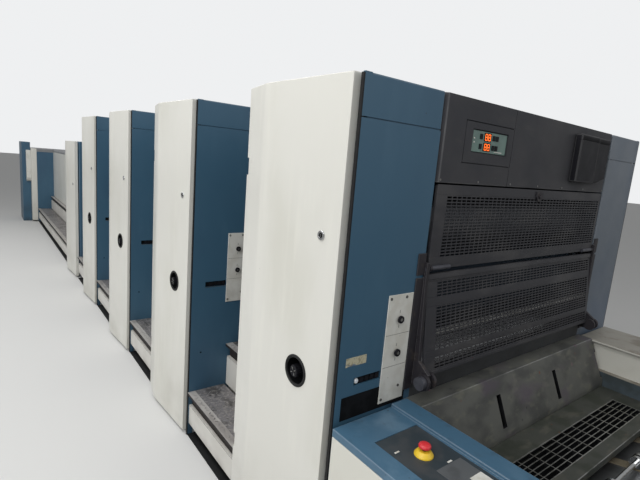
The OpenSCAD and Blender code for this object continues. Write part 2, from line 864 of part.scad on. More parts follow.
// Plates that carry the guards' pivots on the housings' inner faces, with flanges on
// the housings' front faces
module guard_brackets() color("dimgray") at_units() both_sides() difference() {
    top = upper_pivot_z + bracket_rim + ear_r;
    front = half_l + bracket_rim;
    union() {
        run_y(-core_y, bracket_w) polygon([[half_l - bracket_in, cavity_z], [half_l, cavity_z],
            [half_l, lower_pivot_z - hub_r], [lower_pivot_x + bracket_rim, lower_pivot_z - hub_r],
            [lower_pivot_x + bracket_rim, lower_pivot_z + hub_r],
            [front + bracket_rim, lower_guard_z + 2 * hub_r], [front, upper_pivot_z - 2 * hub_r],
            [front, top], [half_l - bracket_in, top]]);
        span([half_l, -core_y - flange_w, cavity_z - hub_r],
            [half_l + flange_t, -core_y + over, lower_guard_top - flange_gap]);
        span([half_l, -core_y - flange_w, lower_guard_top],
            [half_l + flange_t, -core_y + over, lower_guard_top + flange_top_h]);
        rod_y(lower_pivot_x, -core_y - hub_t, lower_pivot_z, hub_t + over, hub_r);
    }
    rod_y(upper_pivot_x, -core_y - over, upper_pivot_z, bracket_w + 2 * over, guard_pin_r + pin_gap);
    rod_y(lower_pivot_x, -core_y - shaft_room, lower_pivot_z, bracket_w + shaft_room + over,
        guard_pin_r + pin_gap);
}

// Step or platform whose nose lies at low[1]: a body set back under its tread, with
// the riser panel standing proud of it between the dark band and the toes' space
module platform(low, high) {
    under = high[2] - tread_t;
    span(low + [0, riser_set, 0], [high[0], high[1], under]);
    span([low[0], low[1], under], high);
    span([low[0], low[1] + panel_set, low[2]], [high[0], low[1] + riser_set + over, under - band_h]);
}

// Lower step in one gap, with its nose kept clear of the door's rear edge
module lower_step(rear, front) both_sides() {
    platform([rear, -step_y, toe_h], [front - step_door_gap, -walk_y, step_1_z]);
    span([rear, -step_y + toe_set, 0], [front - step_door_gap, -walk_y, toe_h]);
    span([front - step_door_gap, -side_y + step_set, 0], [front, -walk_y, step_1_z]);
}

module lower_steps() color("gray") {
    for (i = [0 : UNITS - 2]) lower_step(unit_x(i + 1) + half_l, unit_x(i) - half_l);
    lower_step(dhead_x, last_back);
    lower_step(station_x, ext_x);
}

module walkway(rear, front) both_sides() {
    span([rear, -walk_y + riser_set, 0], [front, 0, step_1_z]);
    platform([rear, -walk_y, step_1_z], [front, 0, step_2_z]);
}

module walkways() color("gray") {
    for (i = [0 : UNITS - 2]) walkway(unit_x(i + 1) + half_l, unit_x(i) - half_l);
    walkway(dhead_x, last_back);
    both_sides() {
        span([station_x, -walk_y + riser_set, 0], [ext_x, -ext_y, step_1_z]);
        platform([station_x, -walk_y, step_1_z], [ext_x, -ext_y, step_2_z]);
    }
}

// Sloping cover in front of a unit's lower face, x measured from that face
module apron(face, y0, y1) {
    slope = [apron_d - ledge_d, step_2_z + apron_foot - ledge_z];
    slope_l = norm(slope);
    along = slope / slope_l;
    inward = [along[1], -along[0]];
    start = [ledge_d, ledge_z] + along * apron_top_edge;
    end = [ledge_d, ledge_z] + slope - along * apron_edge;
    panel = (y1 - y0) / apron_panels;
    translate([face, 0, 0]) difference() {
        run_y(y0, y1 - y0) polygon([[0, step_2_z], [0, ledge_z], [ledge_d, ledge_z],
            [apron_d, step_2_z + apron_foot], [apron_d, step_2_z]]);
        for (i = [0 : apron_panels])
            run_y(y0 + i * panel - apron_slot / 2, apron_slot) polygon([start - inward, end - inward,
                end + inward * apron_cut, start + inward * apron_cut]);
    }
}

module aprons() color("gray") {
    apron(first_face, -desk_in, wall_in);
    for (i = [1 : UNITS - 1]) apron(unit_x(i) + half_l, -core_y, core_y);
}

module footboard() color("gray") difference() {
    span([first_face, -desk_in, step_2_z - footboard_t], [foot_end, wall_in, step_2_z]);
    span([foot_end - grate_x - grate_l, -desk_in + grate_y, step_2_z - footboard_t - over],
        [foot_end - grate_x, -desk_in + grate_y + grate_w, step_2_z + over]);
}

module grating() color("silver") {
    x0 = foot_end - grate_x - grate_l;
    y0 = -desk_in + grate_y;
    bar_h = footboard_t - grate_free;
    for (i = [1 : grate_bars]) {
        x = x0 + i * grate_l / (grate_bars + 1) - grate_bar / 2;
        span([x, y0, step_2_z - bar_h], [x + grate_bar, y0 + grate_w, step_2_z]);
    }
    for (i = [1 : grate_cross]) {
        y = y0 + i * grate_w / (grate_cross + 1) - grate_bar / 2;
        span([x0, y, step_2_z - bar_h], [x0 + grate_l, y + grate_bar, step_2_z]);
    }
}

module desk_body() color("gainsboro") {
    span([first_face + desk_gap, -desk_y, plinth_h], [feeder_x, -desk_in, desk_z - desk_top_t]);
    span([first_face + desk_gap, -desk_y + plinth_set, 0], [feeder_x, -desk_in, plinth_h]);
}

// Blue desk top with raised rims and a pocket for the sunk panel
module desk_top() color("steelblue") difference() {
    union() {
        span([first_face + desk_gap, -desk_y, desk_z - desk_top_t], [feeder_x, -desk_in, desk_z]);
        span([first_face + desk_gap, -desk_in - rim_w, desk_z], [feeder_x, -desk_in, desk_z + rim_h]);
    }
    span([first_face + panel_x, -desk_y + panel_y, desk_z - panel_sunk - panel_t],
        [first_face + panel_x + panel_l, -desk_y + panel_y + panel_w, desk_z + over]);
}

module desk_panel() color("black")
    span([first_face + panel_x, -desk_y + panel_y, desk_z - panel_sunk - panel_t],
        [first_face + panel_x + panel_l, -desk_y + panel_y + panel_w, desk_z - panel_sunk]);

module at_stop()
    translate([first_face + stop_x, -desk_y + panel_y + stop_y, desk_z - panel_sunk]) children();

module stop_base() color("gold") at_stop() difference() {
    cylinder(r = stop_base_r, h = stop_base_h);
    translate([0, 0, stop_floor]) cylinder(r = stop_stem_r + pin_gap, h = stop_base_h);
}

module stop_button() color("red") at_stop() {
    translate([0, 0, stop_foot])
        cylinder(r = stop_stem_r, h = stop_base_h - stop_foot + stop_lift + stop_stem_in);
    translate([0, 0, stop_base_h + stop_lift]) rotate_extrude() intersection() {
        translate([0, -stop_r + stop_h]) circle(r = stop_r);
        square([stop_r, stop_h]);
    }
}

module drive_side_wall() color("gainsboro") {
    span([first_face + desk_gap, wall_in + riser_set, 0], [feeder_x, side_y, desk_z - tread_t]);
    span([first_face + desk_gap, wall_in, desk_z - tread_t], [feeder_x, side_y, desk_z]);
    span([first_face + desk_gap, wall_in, 0], [feeder_x, wall_in + riser_set, step_2_z + apron_foot]);
}

module infeed_base() color("dimgray")
    span([first_face, -desk_in, 0], [feeder_x, wall_in, infeed_base_z]);

// Sloping feed table on its cross tubes
module feed_table() color("gray") {
    run_y(-table_w / 2, table_w) polygon([[table_x, table_z1 - table_t], [table_x, table_z1],
        [feeder_x, table_z2], [feeder_x, table_z2 - table_t]]);
    for (share = [tube_share, 1 / 2, 1 - tube_share]) {
        x = table_x + share * (feeder_x - table_x);
        rod_y(x, -desk_in, table_top(x) - table_t - tube_r + tube_in, desk_in + wall_in, tube_r);
    }
}

// Centre of tape i across the table
function tape_y(i) = (i - (tapes - 1) / 2) * table_w / tapes;

module feed_tapes() color("tan") for (i = [0 : tapes - 1])
    run_y(tape_y(i) - tape_w / 2, tape_w) polygon([[table_x, table_z1], [feeder_x, table_z2],
        [feeder_x, table_z2 + tape_t], [table_x, table_z1 + tape_t]]);

// Cross shaft with running wheels just past the footboard
module feed_wheels() color("silver") {
    x = foot_end + wheel_r + wheel_x;
    z = table_top(x) + (tape_t + wheel_r + wheel_gap) / cos(atan(table_rise));
    rod_y(x, -desk_in, z, desk_in + wall_in, wheel_shaft_r);
    for (i = [0 : tapes - 1], s = [-1, 1])
        rod_y(x, tape_y(i) + s * tape_w / 4 - wheel_w / 2, z, wheel_w, wheel_r);
}

module feeder_housings() color("steelblue") both_sides() {
    span([feeder_x, -side_y, plinth_h], [feeder_x + feeder_front_l, -desk_in, feeder_front_h]);
    span([feeder_x + plinth_set, -side_y + plinth_set, 0],
        [feeder_x + feeder_front_l - plinth_set, -desk_in, plinth_h]);
}

// Posts, top rails and cross rails of the feeder
module feeder_frame() color("steelblue") {
    beam_x = feeder_x + head_x + head_l / 2 - post_w / 2;
    both_sides() {
        span([feeder_x, -side_y, feeder_front_h], [feeder_x + post_w, -rail_y, post_h]);
        span([feeder_end - post_w, -side_y, 0], [feeder_end, -rail_y, post_h]);
        span([feeder_x, -side_y, post_h - rail_h], [feeder_end, -rail_y, post_h]);
    }
    span([feeder_x, -side_y, post_h - rail_h], [feeder_x + post_w, side_y, post_h]);
    span([beam_x, -side_y, post_h - rail_h], [beam_x + post_w, side_y, post_h]);
    span([feeder_end - post_w, -side_y, post_h - rail_h], [feeder_end, side_y, post_h]);
}

// Suction head hung from the middle cross rail
module suction_head() color("silver") {
    x0 = feeder_x + head_x;
    mid = x0 + head_l / 2;
    span([x0, -head_w / 2, head_z], [x0 + head_l, head_w / 2, head_z + head_h]);
    span([mid - post_w / 2, -post_w, head_z + head_h], [mid + post_w / 2, post_w, post_h - rail_h]);
}

// Pile board on two lifting bars hung from the rails by chains
module pile_lift(x0, l, w, reach, top) {
    span([x0, -w / 2, board_z], [x0 + l, w / 2, board_z + board_t]);
    for (share = [lift_share, 1 - lift_share]) {
        x = x0 + share * l;
        span([x - lift_w / 2, -reach, board_z - lift_h], [x + lift_w / 2, reach, board_z]);
        both_sides() span([x - chain_w / 2, -reach, board_z - lift_h],
            [x + chain_w / 2, -reach + chain_t, top]);
    }
}

module feeder_pile_board() color("burlywood")
    pile_lift(feeder_x + feeder_front_l + board_x, board_l, board_w, side_y - chain_set, post_h - rail_h);

module delivery_head() color("steelblue") translate([ext_x + dhead_l / 2, 0, 0]) both_sides()
    translate([0, -side_y, 0]) housing(dhead_l, side_w, dhead_h);

module delivery_head_core() color("dimgray") run_y(-core_y, core_w) polygon([[ext_x, 0],
    [dhead_x, 0], [dhead_x, dhead_h - cover_t], [dhead_x - cover_t, dhead_h],
    [ext_x + head_ramp, dhead_h], [ext_x, ext_h]]);

// Long low body between the delivery head and the station
module extended_delivery() color("gainsboro") difference() {
    span([station_x, -ext_y, 0], [ext_x, ext_y, ext_h - hood_t]);
    for (i = [1 : ext_bays - 1]) {
        x = station_x + i * ext_l / ext_bays;
        both_sides() span([x - ext_joint / 2, -ext_y - over, step_2_z],
            [x + ext_joint / 2, -ext_y + seam_cut, ext_h]);
    }
}

module delivery_hoods() color("gray") for (i = [0 : ext_bays - 1]) {
    x = station_x + i * ext_l / ext_bays + ext_joint / 2;
    l = ext_l / ext_bays - ext_joint;
    translate([x, 0, 0]) run_x(0, l) polygon([[-ext_y, ext_h - hood_t], [-ext_y, ext_h - hood_t / 2],
        [-ext_y + hood_t / 2, ext_h], [ext_y - hood_t / 2, ext_h], [ext_y, ext_h - hood_t / 2],
        [ext_y, ext_h - hood_t]]);
}

module station_sides() color("steelblue") both_sides() {
    span([station_end, -step_y, plinth_h], [station_x, -bay_w / 2, station_h - hood_t]);
    span([station_end + plinth_set, -step_y + plinth_set, 0],
        [station_x - plinth_set, -bay_w / 2, plinth_h]);
}

module station_core() color("dimgray")
    span([station_end + bay_l, -bay_w / 2, 0], [station_x, bay_w / 2, station_h - hood_t]);

module station_hood() color("gray")
    span([station_end, -step_y, station_h - hood_t], [station_x, step_y, station_h]);

module station_covers() color("gainsboro") both_sides()
    span([station_end, -step_y - station_cover_t, plinth_h], [station_x, -step_y, station_h]);

module control_cabinet() color("steelblue")
    span([station_x - cabinet_set - cabinet_l, -step_y - station_cover_t - cabinet_d, 0],
        [station_x - cabinet_set, -step_y - station_cover_t, cabinet_h]);

// Operating box on the near end of the cabinet, with a rounded foot
module operating_box() color("white") {
    y = -step_y - station_cover_t - box_w;
    run_y(y, box_w) {
        translate([station_x - cabinet_set, box_z + box_l]) square([box_l, box_h - box_l]);
        intersection() {
            translate([station_x - cabinet_set, box_z + box_l]) circle(r = box_l);
            translate([station_x - cabinet_set, box_z]) square([box_l, box_l]);
        }
    }
}

module delivery_pile_board() color("burlywood")
    pile_lift(station_end + (bay_l - board_l) / 2, board_l, board_w, bay_w / 2, station_h - hood_t);

unit_frames();
operator_housings();
drive_housings();
drive_covers();
front_covers();
display_panels();
ink_drive_boxes();
rear_covers();
impression_cylinders();
blanket_cylinders();
plate_cylinders();
guard_brackets();
rear_unit_guards();
upper_guard();
lower_guard();
door_hinges();
unit_1_door();
unit_2_door();
unit_3_door();
unit_4_door();
delivery_door();
turn_knob_1();
turn_knob_2();
turn_knob_3();
turn_knob_4();
register_plates();
upper_register_knob();
lower_register_knob();
lower_steps();
walkways();
aprons();
footboard();
grating();
desk_body();
desk_top();
desk_panel();
stop_base();
stop_button();
drive_side_wall();
infeed_base();
feed_table();
feed_tapes();
feed_wheels();
feeder_housings();
feeder_frame();
suction_head();
feeder_pile_board();
delivery_head();
delivery_head_core();
extended_delivery();
delivery_hoods();
station_sides();
station_core();
station_covers();
station_hood();
control_cabinet();
operating_box();
delivery_pile_board();
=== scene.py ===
"""Looks of a sheet-fed offset printing press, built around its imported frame.

The press runs along X with its feeder at +X and its operator side at -Y. Every length is in metres.
"""

import logging
import math
from dataclasses import dataclass, replace
from enum import Enum
from typing import Sequence, Union

import bmesh
import bpy
from mathutils import Matrix, Vector


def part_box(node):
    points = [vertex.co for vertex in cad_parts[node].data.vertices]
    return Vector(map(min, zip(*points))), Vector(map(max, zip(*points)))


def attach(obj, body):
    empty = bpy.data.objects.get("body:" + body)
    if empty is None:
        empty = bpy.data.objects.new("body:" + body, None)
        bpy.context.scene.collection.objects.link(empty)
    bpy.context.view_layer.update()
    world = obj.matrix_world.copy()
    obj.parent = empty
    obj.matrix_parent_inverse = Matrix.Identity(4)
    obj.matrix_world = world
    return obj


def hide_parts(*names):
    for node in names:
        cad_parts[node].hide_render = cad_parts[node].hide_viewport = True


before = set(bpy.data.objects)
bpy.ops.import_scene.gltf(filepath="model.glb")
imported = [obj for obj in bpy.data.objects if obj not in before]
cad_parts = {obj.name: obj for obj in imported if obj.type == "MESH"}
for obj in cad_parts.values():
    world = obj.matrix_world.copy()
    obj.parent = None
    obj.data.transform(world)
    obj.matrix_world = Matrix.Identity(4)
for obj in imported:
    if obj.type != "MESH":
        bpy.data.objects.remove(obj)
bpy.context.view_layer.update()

LOG = logging.getLogger("offset_press")

Vec = tuple[float, float, float]
Span = tuple[float, float]
Point = Sequence[float]
Color = Union[str, tuple[float, float, float]]
Piece = bpy.types.Object
Socket = bpy.types.NodeSocket
Value = Union[float, int, Socket]
Box = tuple[Vec, Vec]

FIXED = "press"
UNITS = 4


def linear(color: Color) -> tuple[float, float, float]:
    """Makes a colour linear.

    Args:
        color: A colour as on a screen, such as "#cfcec7", or one that is linear already.

    Returns:
        The linear colour that a shader takes.
    """
    if not isinstance(color, str):
        return color
    levels = [int(color[i:i + 2], 16) / 255 for i in (1, 3, 5)]
    return tuple(x / 12.92 if x <= 0.04045 else ((x + 0.055) / 1.055) ** 2.4 for x in levels)


class Axis(Enum):
    """Directions that a round piece can point in."""

    X = (1.0, 0.0, 0.0)
    Y = (0.0, 1.0, 0.0)
    Z = (0.0, 0.0, 1.0)


class Tree:
    """Node tree of a material, a world or geometry, built step by step."""

    def __init__(self, tree: bpy.types.NodeTree) -> None:
        """Keeps the tree."""
        self.tree = tree

    def node(self, kind: str, inputs: Union[dict, None] = None, **settings: object) -> bpy.types.Node:
        """Adds a node and feeds its inputs.

        Args:
            kind: The node's type name.
            inputs: Sockets, numbers, vectors or colours for its inputs, by name or index.
            settings: Properties set on the node.

        Returns:
            The new node.
        """
        made = self.tree.nodes.new(kind)
        for key, value in settings.items():
            setattr(made, key, value)
        for key, value in (inputs or {}).items():
            target = made.inputs[key]
            if isinstance(value, bpy.types.NodeSocket):
                self.tree.links.new(value, target)
            elif target.type == "RGBA":
                target.default_value = (*linear(value), 1.0)
            else:
                target.default_value = value
        return made

    def calc(self, operation: str, a: Value, b: Value = 0.0, c: Value = 0.0) -> Socket:
        """Returns the output of one math node."""
        return self.node("ShaderNodeMath", {0: a, 1: b, 2: c}, operation=operation).outputs[0]


class Net(Tree):
    """Shader tree of one material, with short calls for what the finishes share."""

    def __init__(self, tree: bpy.types.NodeTree) -> None:
        """Keeps the material's tree and makes its object coordinates."""
        super().__init__(tree)
        self.coords = self.node("ShaderNodeTexCoord").outputs["Object"]

    def stretched(self, stretch: Vec, shift: float = 0.0) -> Socket:
        """Scales the object coordinates.

        Args:
            stretch: Factor along each axis.
            shift: Offset that makes one pattern differ from the next.

        Returns:
            The scaled coordinates.
        """
        return self.node("ShaderNodeMapping", {
            "Scale": stretch, "Location": (shift, shift * 0.7, shift * 1.3),
            "Vector": self.coords}).outputs["Vector"]

    def noise(self, size: float, stretch: Vec = (1, 1, 1), shift: float = 0.0,
              detail: float = 4.0) -> Socket:
        """Makes a noise whose patches are about size metres across.

        Args:
            size: Width of one patch.
            stretch: Factor along each axis, under 1 where patches are longer.
            shift: Offset of the pattern.
            detail: Octaves of finer noise.

        Returns:
            The noise's value.
        """
        return self.node("ShaderNodeTexNoise", {
            "Scale": 1 / size, "Detail": detail,
            "Vector": self.stretched(stretch, shift)}).outputs["Fac"]

    def step(self, value: Socket, low: float, high: float) -> Socket:
        """Maps a value to 0 and 1 with a smooth run between them.

        Args:
            value: The value.
            low: What becomes 0.
            high: What becomes 1, which may be under low.

        Returns:
            The mapped value.
        """
        down = high < low
        return self.node("ShaderNodeMapRange", {
            "Value": value, "From Min": min(low, high), "From Max": max(low, high),
            "To Min": 1.0 if down else 0.0, "To Max": 0.0 if down else 1.0,
        }, interpolation_type="SMOOTHSTEP", clamp=True).outputs["Result"]

    def mix(self, share: Value, under: Union[Socket, Color], over: Union[Socket, Color]) -> Socket:
        """Returns one colour laid over another by a share."""
        return self.node("ShaderNodeMix", {0: share, 6: under, 7: over}, data_type="RGBA").outputs[2]

    def part(self, axis: str) -> Socket:
        """Returns one object coordinate, named X, Y or Z."""
        return self.node("ShaderNodeSeparateXYZ", {0: self.coords}).outputs[axis]


class Layer:
    """A layer laid on a finish, whose colour goes on by its share where its mask says."""

    color: Color
    share: float

    def mask(self, net: Net) -> Socket:
        """Returns where the layer shows, from 0 to 1."""
        raise NotImplementedError

    def over(self, net: Net, under: Union[Socket, Color]) -> Socket:
        """Returns the colour under it with the layer laid on."""
        return net.mix(net.calc("MULTIPLY", self.mask(net), self.share), under, self.color)


@dataclass(frozen=True)
class Mottle(Layer):
    """Cloudy change of colour, stretched to streaks where one factor is small."""

    color: Color
    size: float
    share: float
    stretch: Vec = (1, 1, 1)
    low: float = 0.45
    high: float = 0.65
    shift: float = 0.0

    def mask(self, net: Net) -> Socket:
        """Returns the clouds."""
        return net.step(net.noise(self.size, self.stretch, self.shift), self.low, self.high)


@dataclass(frozen=True)
class LowFade(Layer):
    """Darker colour low down that fades away with height, broken up by noise."""

    color: Color
    bottom: float
    top: float
    share: float
    size: float = 0.15

    def mask(self, net: Net) -> Socket:
        """Returns where the darker colour shows."""
        fade = net.step(net.part("Z"), self.top, self.bottom)
        return net.calc("MULTIPLY", fade, net.step(net.noise(self.size, shift=3.1), 0.3, 0.7))


@dataclass(frozen=True)
class Specks(Layer):
    """Small round spots, such as rust, ink or chips, in some places only."""

    color: Color
    spacing: float
    radius: float
    share: float
    shift: float = 0.0

    def mask(self, net: Net) -> Socket:
        """Makes the spots.

        Args:
            net: The material's tree.

        Returns:
            The spots, from 0 to 1.
        """
        cells = net.node("ShaderNodeTexVoronoi", {
            "Scale": 1 / self.spacing, "Vector": net.stretched((1, 1, 1), self.shift)})
        edge = self.radius / self.spacing
        spot = net.step(cells.outputs["Distance"], edge, edge * 0.6)
        somewhere = net.step(net.noise(self.spacing * 4, shift=self.shift + 1.7), 0.48, 0.58)
        return net.calc("MULTIPLY", spot, somewhere)


@dataclass(frozen=True)
class Weave(Layer):
    """Crossed threads of a woven tape, run along X and Y."""

    color: Color
    pitch: float
    share: float

    def mask(self, net: Net) -> Socket:
        """Returns the threads."""
        rows = [net.calc("SINE", net.calc("MULTIPLY", net.part(axis), math.tau / self.pitch))
                for axis in ("X", "Y")]
        return net.step(net.calc("MULTIPLY", *rows), -0.4, 0.4)


@dataclass(frozen=True)
class Finish:
    """One surface: its base colour, gloss, fine grain and the layers of colour on it."""

    name: str
    color: Color
    roughness: float
    metallic: float = 0.0
    layers: tuple[Layer, ...] = ()
    grain: float = 0.0
    grain_size: float = 0.0015
    grain_stretch: Vec = (1, 1, 1)
    gloss_spread: float = 0.08
    gloss_size: float = 0.12
    coat: float = 0.0
    glow: float = 0.0
    specular: float = 0.5

    def material(self) -> bpy.types.Material:
        """Builds the material, or finds the one built before.

        Returns:
            The material of this finish.
        """
        known = bpy.data.materials.get(self.name)
        if known:
            return known
        made = bpy.data.materials.new(self.name)
        made.use_nodes = True
        made.node_tree.nodes.clear()
        net = Net(made.node_tree)
        color: Union[Socket, Color] = self.color
        for layer in self.layers:
            color = layer.over(net, color)
        gloss = net.step(net.noise(self.gloss_size, shift=5.3), 0.3, 0.7)
        inputs = {
            "Base Color": color, "Metallic": self.metallic, "Coat Weight": self.coat,
            "Coat Roughness": 0.15, "Specular IOR Level": self.specular,
            "Roughness": net.calc("MULTIPLY_ADD", gloss, self.gloss_spread,
                                  self.roughness - self.gloss_spread / 2)}
        if self.grain:
            inputs["Normal"] = net.node("ShaderNodeBump", {
                "Distance": self.grain, "Strength": 1.0,
                "Height": net.noise(self.grain_size, self.grain_stretch, detail=2.0),
            }).outputs["Normal"]
        if self.glow:
            inputs.update({"Emission Color": self.color, "Emission Strength": self.glow})
        shader = net.node("ShaderNodeBsdfPrincipled", inputs)
        net.node("ShaderNodeOutputMaterial", {"Surface": shader.outputs["BSDF"]})
        return made

    def worn(self, share: float = 0.35) -> "Finish":
        """The finish along rounded edges, rubbed lighter.

        Args:
            share: How far the colour moves towards bare grey.

        Returns:
            A finish of its own name.
        """
        bare = 0.42
        lighter = tuple(level + (bare - level) * share for level in linear(self.color))
        return replace(self, name=self.name + "_edge", color=lighter)


class Paint:
    """The finishes of the press."""

    DOOR = Finish("door_enamel", "#cfcec7", 0.34, coat=0.25, grain=0.00016, grain_size=0.006,
        layers=(Mottle("#c0bfb4", 0.5, 0.5, (1, 1, 0.45)),
        Mottle("#d8d7ce", 0.05, 0.35, (1, 1, 0.12), 0.5, 0.75, 2.0),
        LowFade("#969286", 0.0, 0.55, 0.45, 0.3), Specks("#605c54", 0.16, 0.004, 0.6, 4.0)))
    BLUE = Finish("housing_enamel", "#3a5b71", 0.42, grain=0.00012, grain_size=0.003, specular=0.4,
        layers=(Mottle("#335168", 0.45, 0.7, (1, 1, 0.5)),
        Mottle("#46667b", 0.09, 0.3, (1, 1, 0.2), 0.5, 0.8, 1.0),
        LowFade("#2c3842", 0.0, 0.5, 0.7, 0.2), Specks("#242a32", 0.11, 0.003, 0.8, 2.0)))
    # The same housing blue, painted lighter and greyer as the window light and sheen that fall on the drive
    # side.
    SHEEN_BLUE = Finish("drive_side_enamel_painted_sheen", "#626b75", 0.42, grain=0.00012, grain_size=0.003,
        layers=(Mottle("#566270", 0.45, 0.7, (1, 1, 0.5)), LowFade("#4a5c74", 0.7, 1.3, 0.8, 0.3),
        Specks("#32383e", 0.11, 0.003, 0.8, 2.0)))
    CHARCOAL = Finish("cover_coating", "#3c3c3f", 0.52, grain=0.00025, grain_size=0.0022,
        specular=0.25, layers=(Mottle("#333439", 0.3, 0.8),
        Mottle("#54524e", 0.06, 0.25, (1, 0.3, 1), 0.55, 0.8, 3.0),
        Specks("#68655e", 0.07, 0.0022, 0.6, 1.0)))
    GUARD = Finish("guard_coating", "#343438", 0.46, grain=0.00015, grain_size=0.002, specular=0.3,
        layers=(Mottle("#4a494a", 0.12, 0.6, (1, 0.4, 1)),
        Specks("#787068", 0.05, 0.0018, 0.6, 2.5)))
    BRACKET = Finish("bracket_coating", "#2a282c", 0.5, grain=0.0002, grain_size=0.002,
        specular=0.3, layers=(Mottle("#4e463e", 0.04, 0.45, (1, 1, 1), 0.55, 0.75),
        Specks("#70543c", 0.03, 0.0022, 0.7, 0.8)))
    PIVOT = Finish("pivot_steel", "#484950", 0.46, metallic=0.3, grain=0.0001, grain_size=0.001,
        layers=(Mottle("#34353c", 0.03, 0.5),))
    FRAME = Finish("casting_paint", "#343638", 0.6, grain=0.0006, grain_size=0.006, layers=(
        Mottle("#28292b", 0.2, 0.8), Specks("#544638", 0.09, 0.004, 0.5)))
    BLACK = Finish("black_plastic", "#18181c", 0.46, grain=0.00012, grain_size=0.0012,
        specular=0.12, layers=(Mottle("#242429", 0.08, 0.5),))
    RUBBER = Finish("black_rubber", "#131314", 0.62, grain=0.0001, grain_size=0.001, specular=0.3,
        layers=(Mottle("#202021", 0.02, 0.4),))
    # Near-black: painted shade in the toe recesses, the aprons' slots, the hand holes, the button strips'
    # recesses and a painted hole below each rear strip, on the grating bars' sides, under the grating and
    # above the desk; also the black of the display windows and the lock centres.
    BLACK_AND_SHADE = Finish("black_and_painted_shade", "#0d0e10", 0.8, specular=0.1,
        layers=(Mottle("#1a1b1e", 0.05, 0.6),))
    STEEL = Finish("ground_steel", "#b6b8ba", 0.26, metallic=1.0, grain=0.00004, grain_size=0.0008,
        grain_stretch=(1, 0.03, 1), layers=(Mottle("#929394", 0.14, 0.5, (1, 0.3, 1)),))
    BLANKET = Finish("rubber_blanket", "#32404e", 0.55, grain=0.00006, grain_size=0.0012, layers=(
        Mottle("#364658", 0.12, 0.6, (1, 0.3, 1)), Specks("#1c1e22", 0.08, 0.006, 0.5, 2.2)))
    PLATE = Finish("plate_aluminium", "#707378", 0.42, metallic=1.0, grain=0.00003,
        grain_size=0.001, grain_stretch=(1, 0.05, 1),
        layers=(Mottle("#4c4f54", 0.1, 0.5, (1, 0.4, 1)),))
    CHROME = Finish("chrome", "#b8b9ba", 0.16, metallic=1.0, gloss_spread=0.06,
        layers=(Mottle("#969490", 0.02, 0.35),))
    # A real roller behind the guards, painted pale so that it shows as the glint seen through the slots.
    GLINT_ROLLER = Finish("roller_painted_glint", "#dededa", 0.3, metallic=0.4,
        layers=(Mottle("#969490", 0.05, 0.6, (1, 0.3, 1)),))
    ZINC = Finish("zinc_screw", "#969694", 0.36, metallic=0.9,
        layers=(Mottle("#68625a", 0.01, 0.5),))
    SIGN = Finish("white_plate", "#d4d3cc", 0.4, grain=0.00003, grain_size=0.002, layers=(
        Mottle("#c4c1b6", 0.07, 0.6), Specks("#786e60", 0.045, 0.0025, 0.7, 3.3),
        LowFade("#8c867a", 0.78, 1.0, 0.4, 0.05)))
    LABEL = Finish("worn_label", "#b6b096", 0.6, layers=(
        Mottle("#546a82", 0.03, 0.95, (1, 0.4, 1), 0.5, 0.56),
        Mottle("#78705c", 0.012, 0.6, (1, 1, 1), 0.5, 0.6, 2.0)))
    INK_LINE = Finish("printed_line", "#262628", 0.5, layers=(Mottle("#3c3c3c", 0.01, 0.4),))
    TREAD = Finish("tread_plate", "#848182", 0.46, metallic=0.45, grain=0.0002, grain_size=0.003,
        layers=(Mottle("#545250", 0.10, 0.85),
        Mottle("#b0aba6", 0.022, 0.6, (1, 1, 1), 0.5, 0.66, 1.5),
        Specks("#34322c", 0.05, 0.009, 0.7, 2.0)))
    STUD = Finish("worn_studs", "#a8a4a0", 0.36, metallic=0.6,
        layers=(Mottle("#6c6866", 0.08, 0.8),))
    NOSING = Finish("worn_nosing", "#bab6b1", 0.42, metallic=0.3, grain=0.0001, grain_size=0.002,
        grain_stretch=(0.1, 1, 1), layers=(Mottle("#8c8682", 0.05, 0.7, (0.4, 1, 1)),
        Specks("#5c5854", 0.03, 0.006, 0.6, 1.0)))
    RISER = Finish("riser_paint", "#c4c2bc", 0.5, grain=0.0001, grain_size=0.003, layers=(
        Mottle("#b4b1aa", 0.25, 0.5), LowFade("#6e6862", 0.06, 0.13, 0.5, 0.1),
        Specks("#605a54", 0.11, 0.004, 0.5, 1.0)))
    # Dark band under each step's nose: partly the nose's dark front edge, partly painted shade under the
    # nose.
    SHADE_BAND = Finish("step_band_painted_shade", "#262220", 0.6, specular=0.2, layers=(Mottle("#262224", 0.08, 0.6),))
    APRON = Finish("apron_plate", "#5a5b57", 0.5, grain=0.0002, grain_size=0.003, specular=0.3,
        layers=(Mottle("#424342", 0.11, 0.8, (1, 0.6, 1)),
        Mottle("#707064", 0.04, 0.5, (1, 0.5, 1), 0.52, 0.72, 2.0),
        Mottle("#544858", 0.16, 0.5, (1, 0.6, 1), 0.55, 0.7, 7.0),
        Specks("#703e28", 0.075, 0.008, 0.65, 1.0), Specks("#783c60", 0.14, 0.014, 0.35, 6.0),
        Specks("#222428", 0.09, 0.007, 0.6, 3.0)))
    BOARD = Finish("footboard_plate", "#42443f", 0.54, grain=0.0002, grain_size=0.003, specular=0.3,
        layers=(Mottle("#32362e", 0.1, 0.8),
        Mottle("#625f56", 0.04, 0.45, (1, 0.4, 1), 0.52, 0.72, 4.0),
        Specks("#6e422a", 0.06, 0.006, 0.6, 2.0)))
    GALVANISED = Finish("grating_bar", "#aaaaa4", 0.36, metallic=0.85, grain=0.00008,
        grain_size=0.002, layers=(Mottle("#7a7870", 0.03, 0.6),
        Specks("#604230", 0.05, 0.004, 0.6)))
    DESK = Finish("desk_side_paint", "#c8c7be", 0.42, grain=0.0001, grain_size=0.003, layers=(
        Mottle("#b8b6ac", 0.3, 0.6), LowFade("#827d73", 0.0, 0.4, 0.5)))
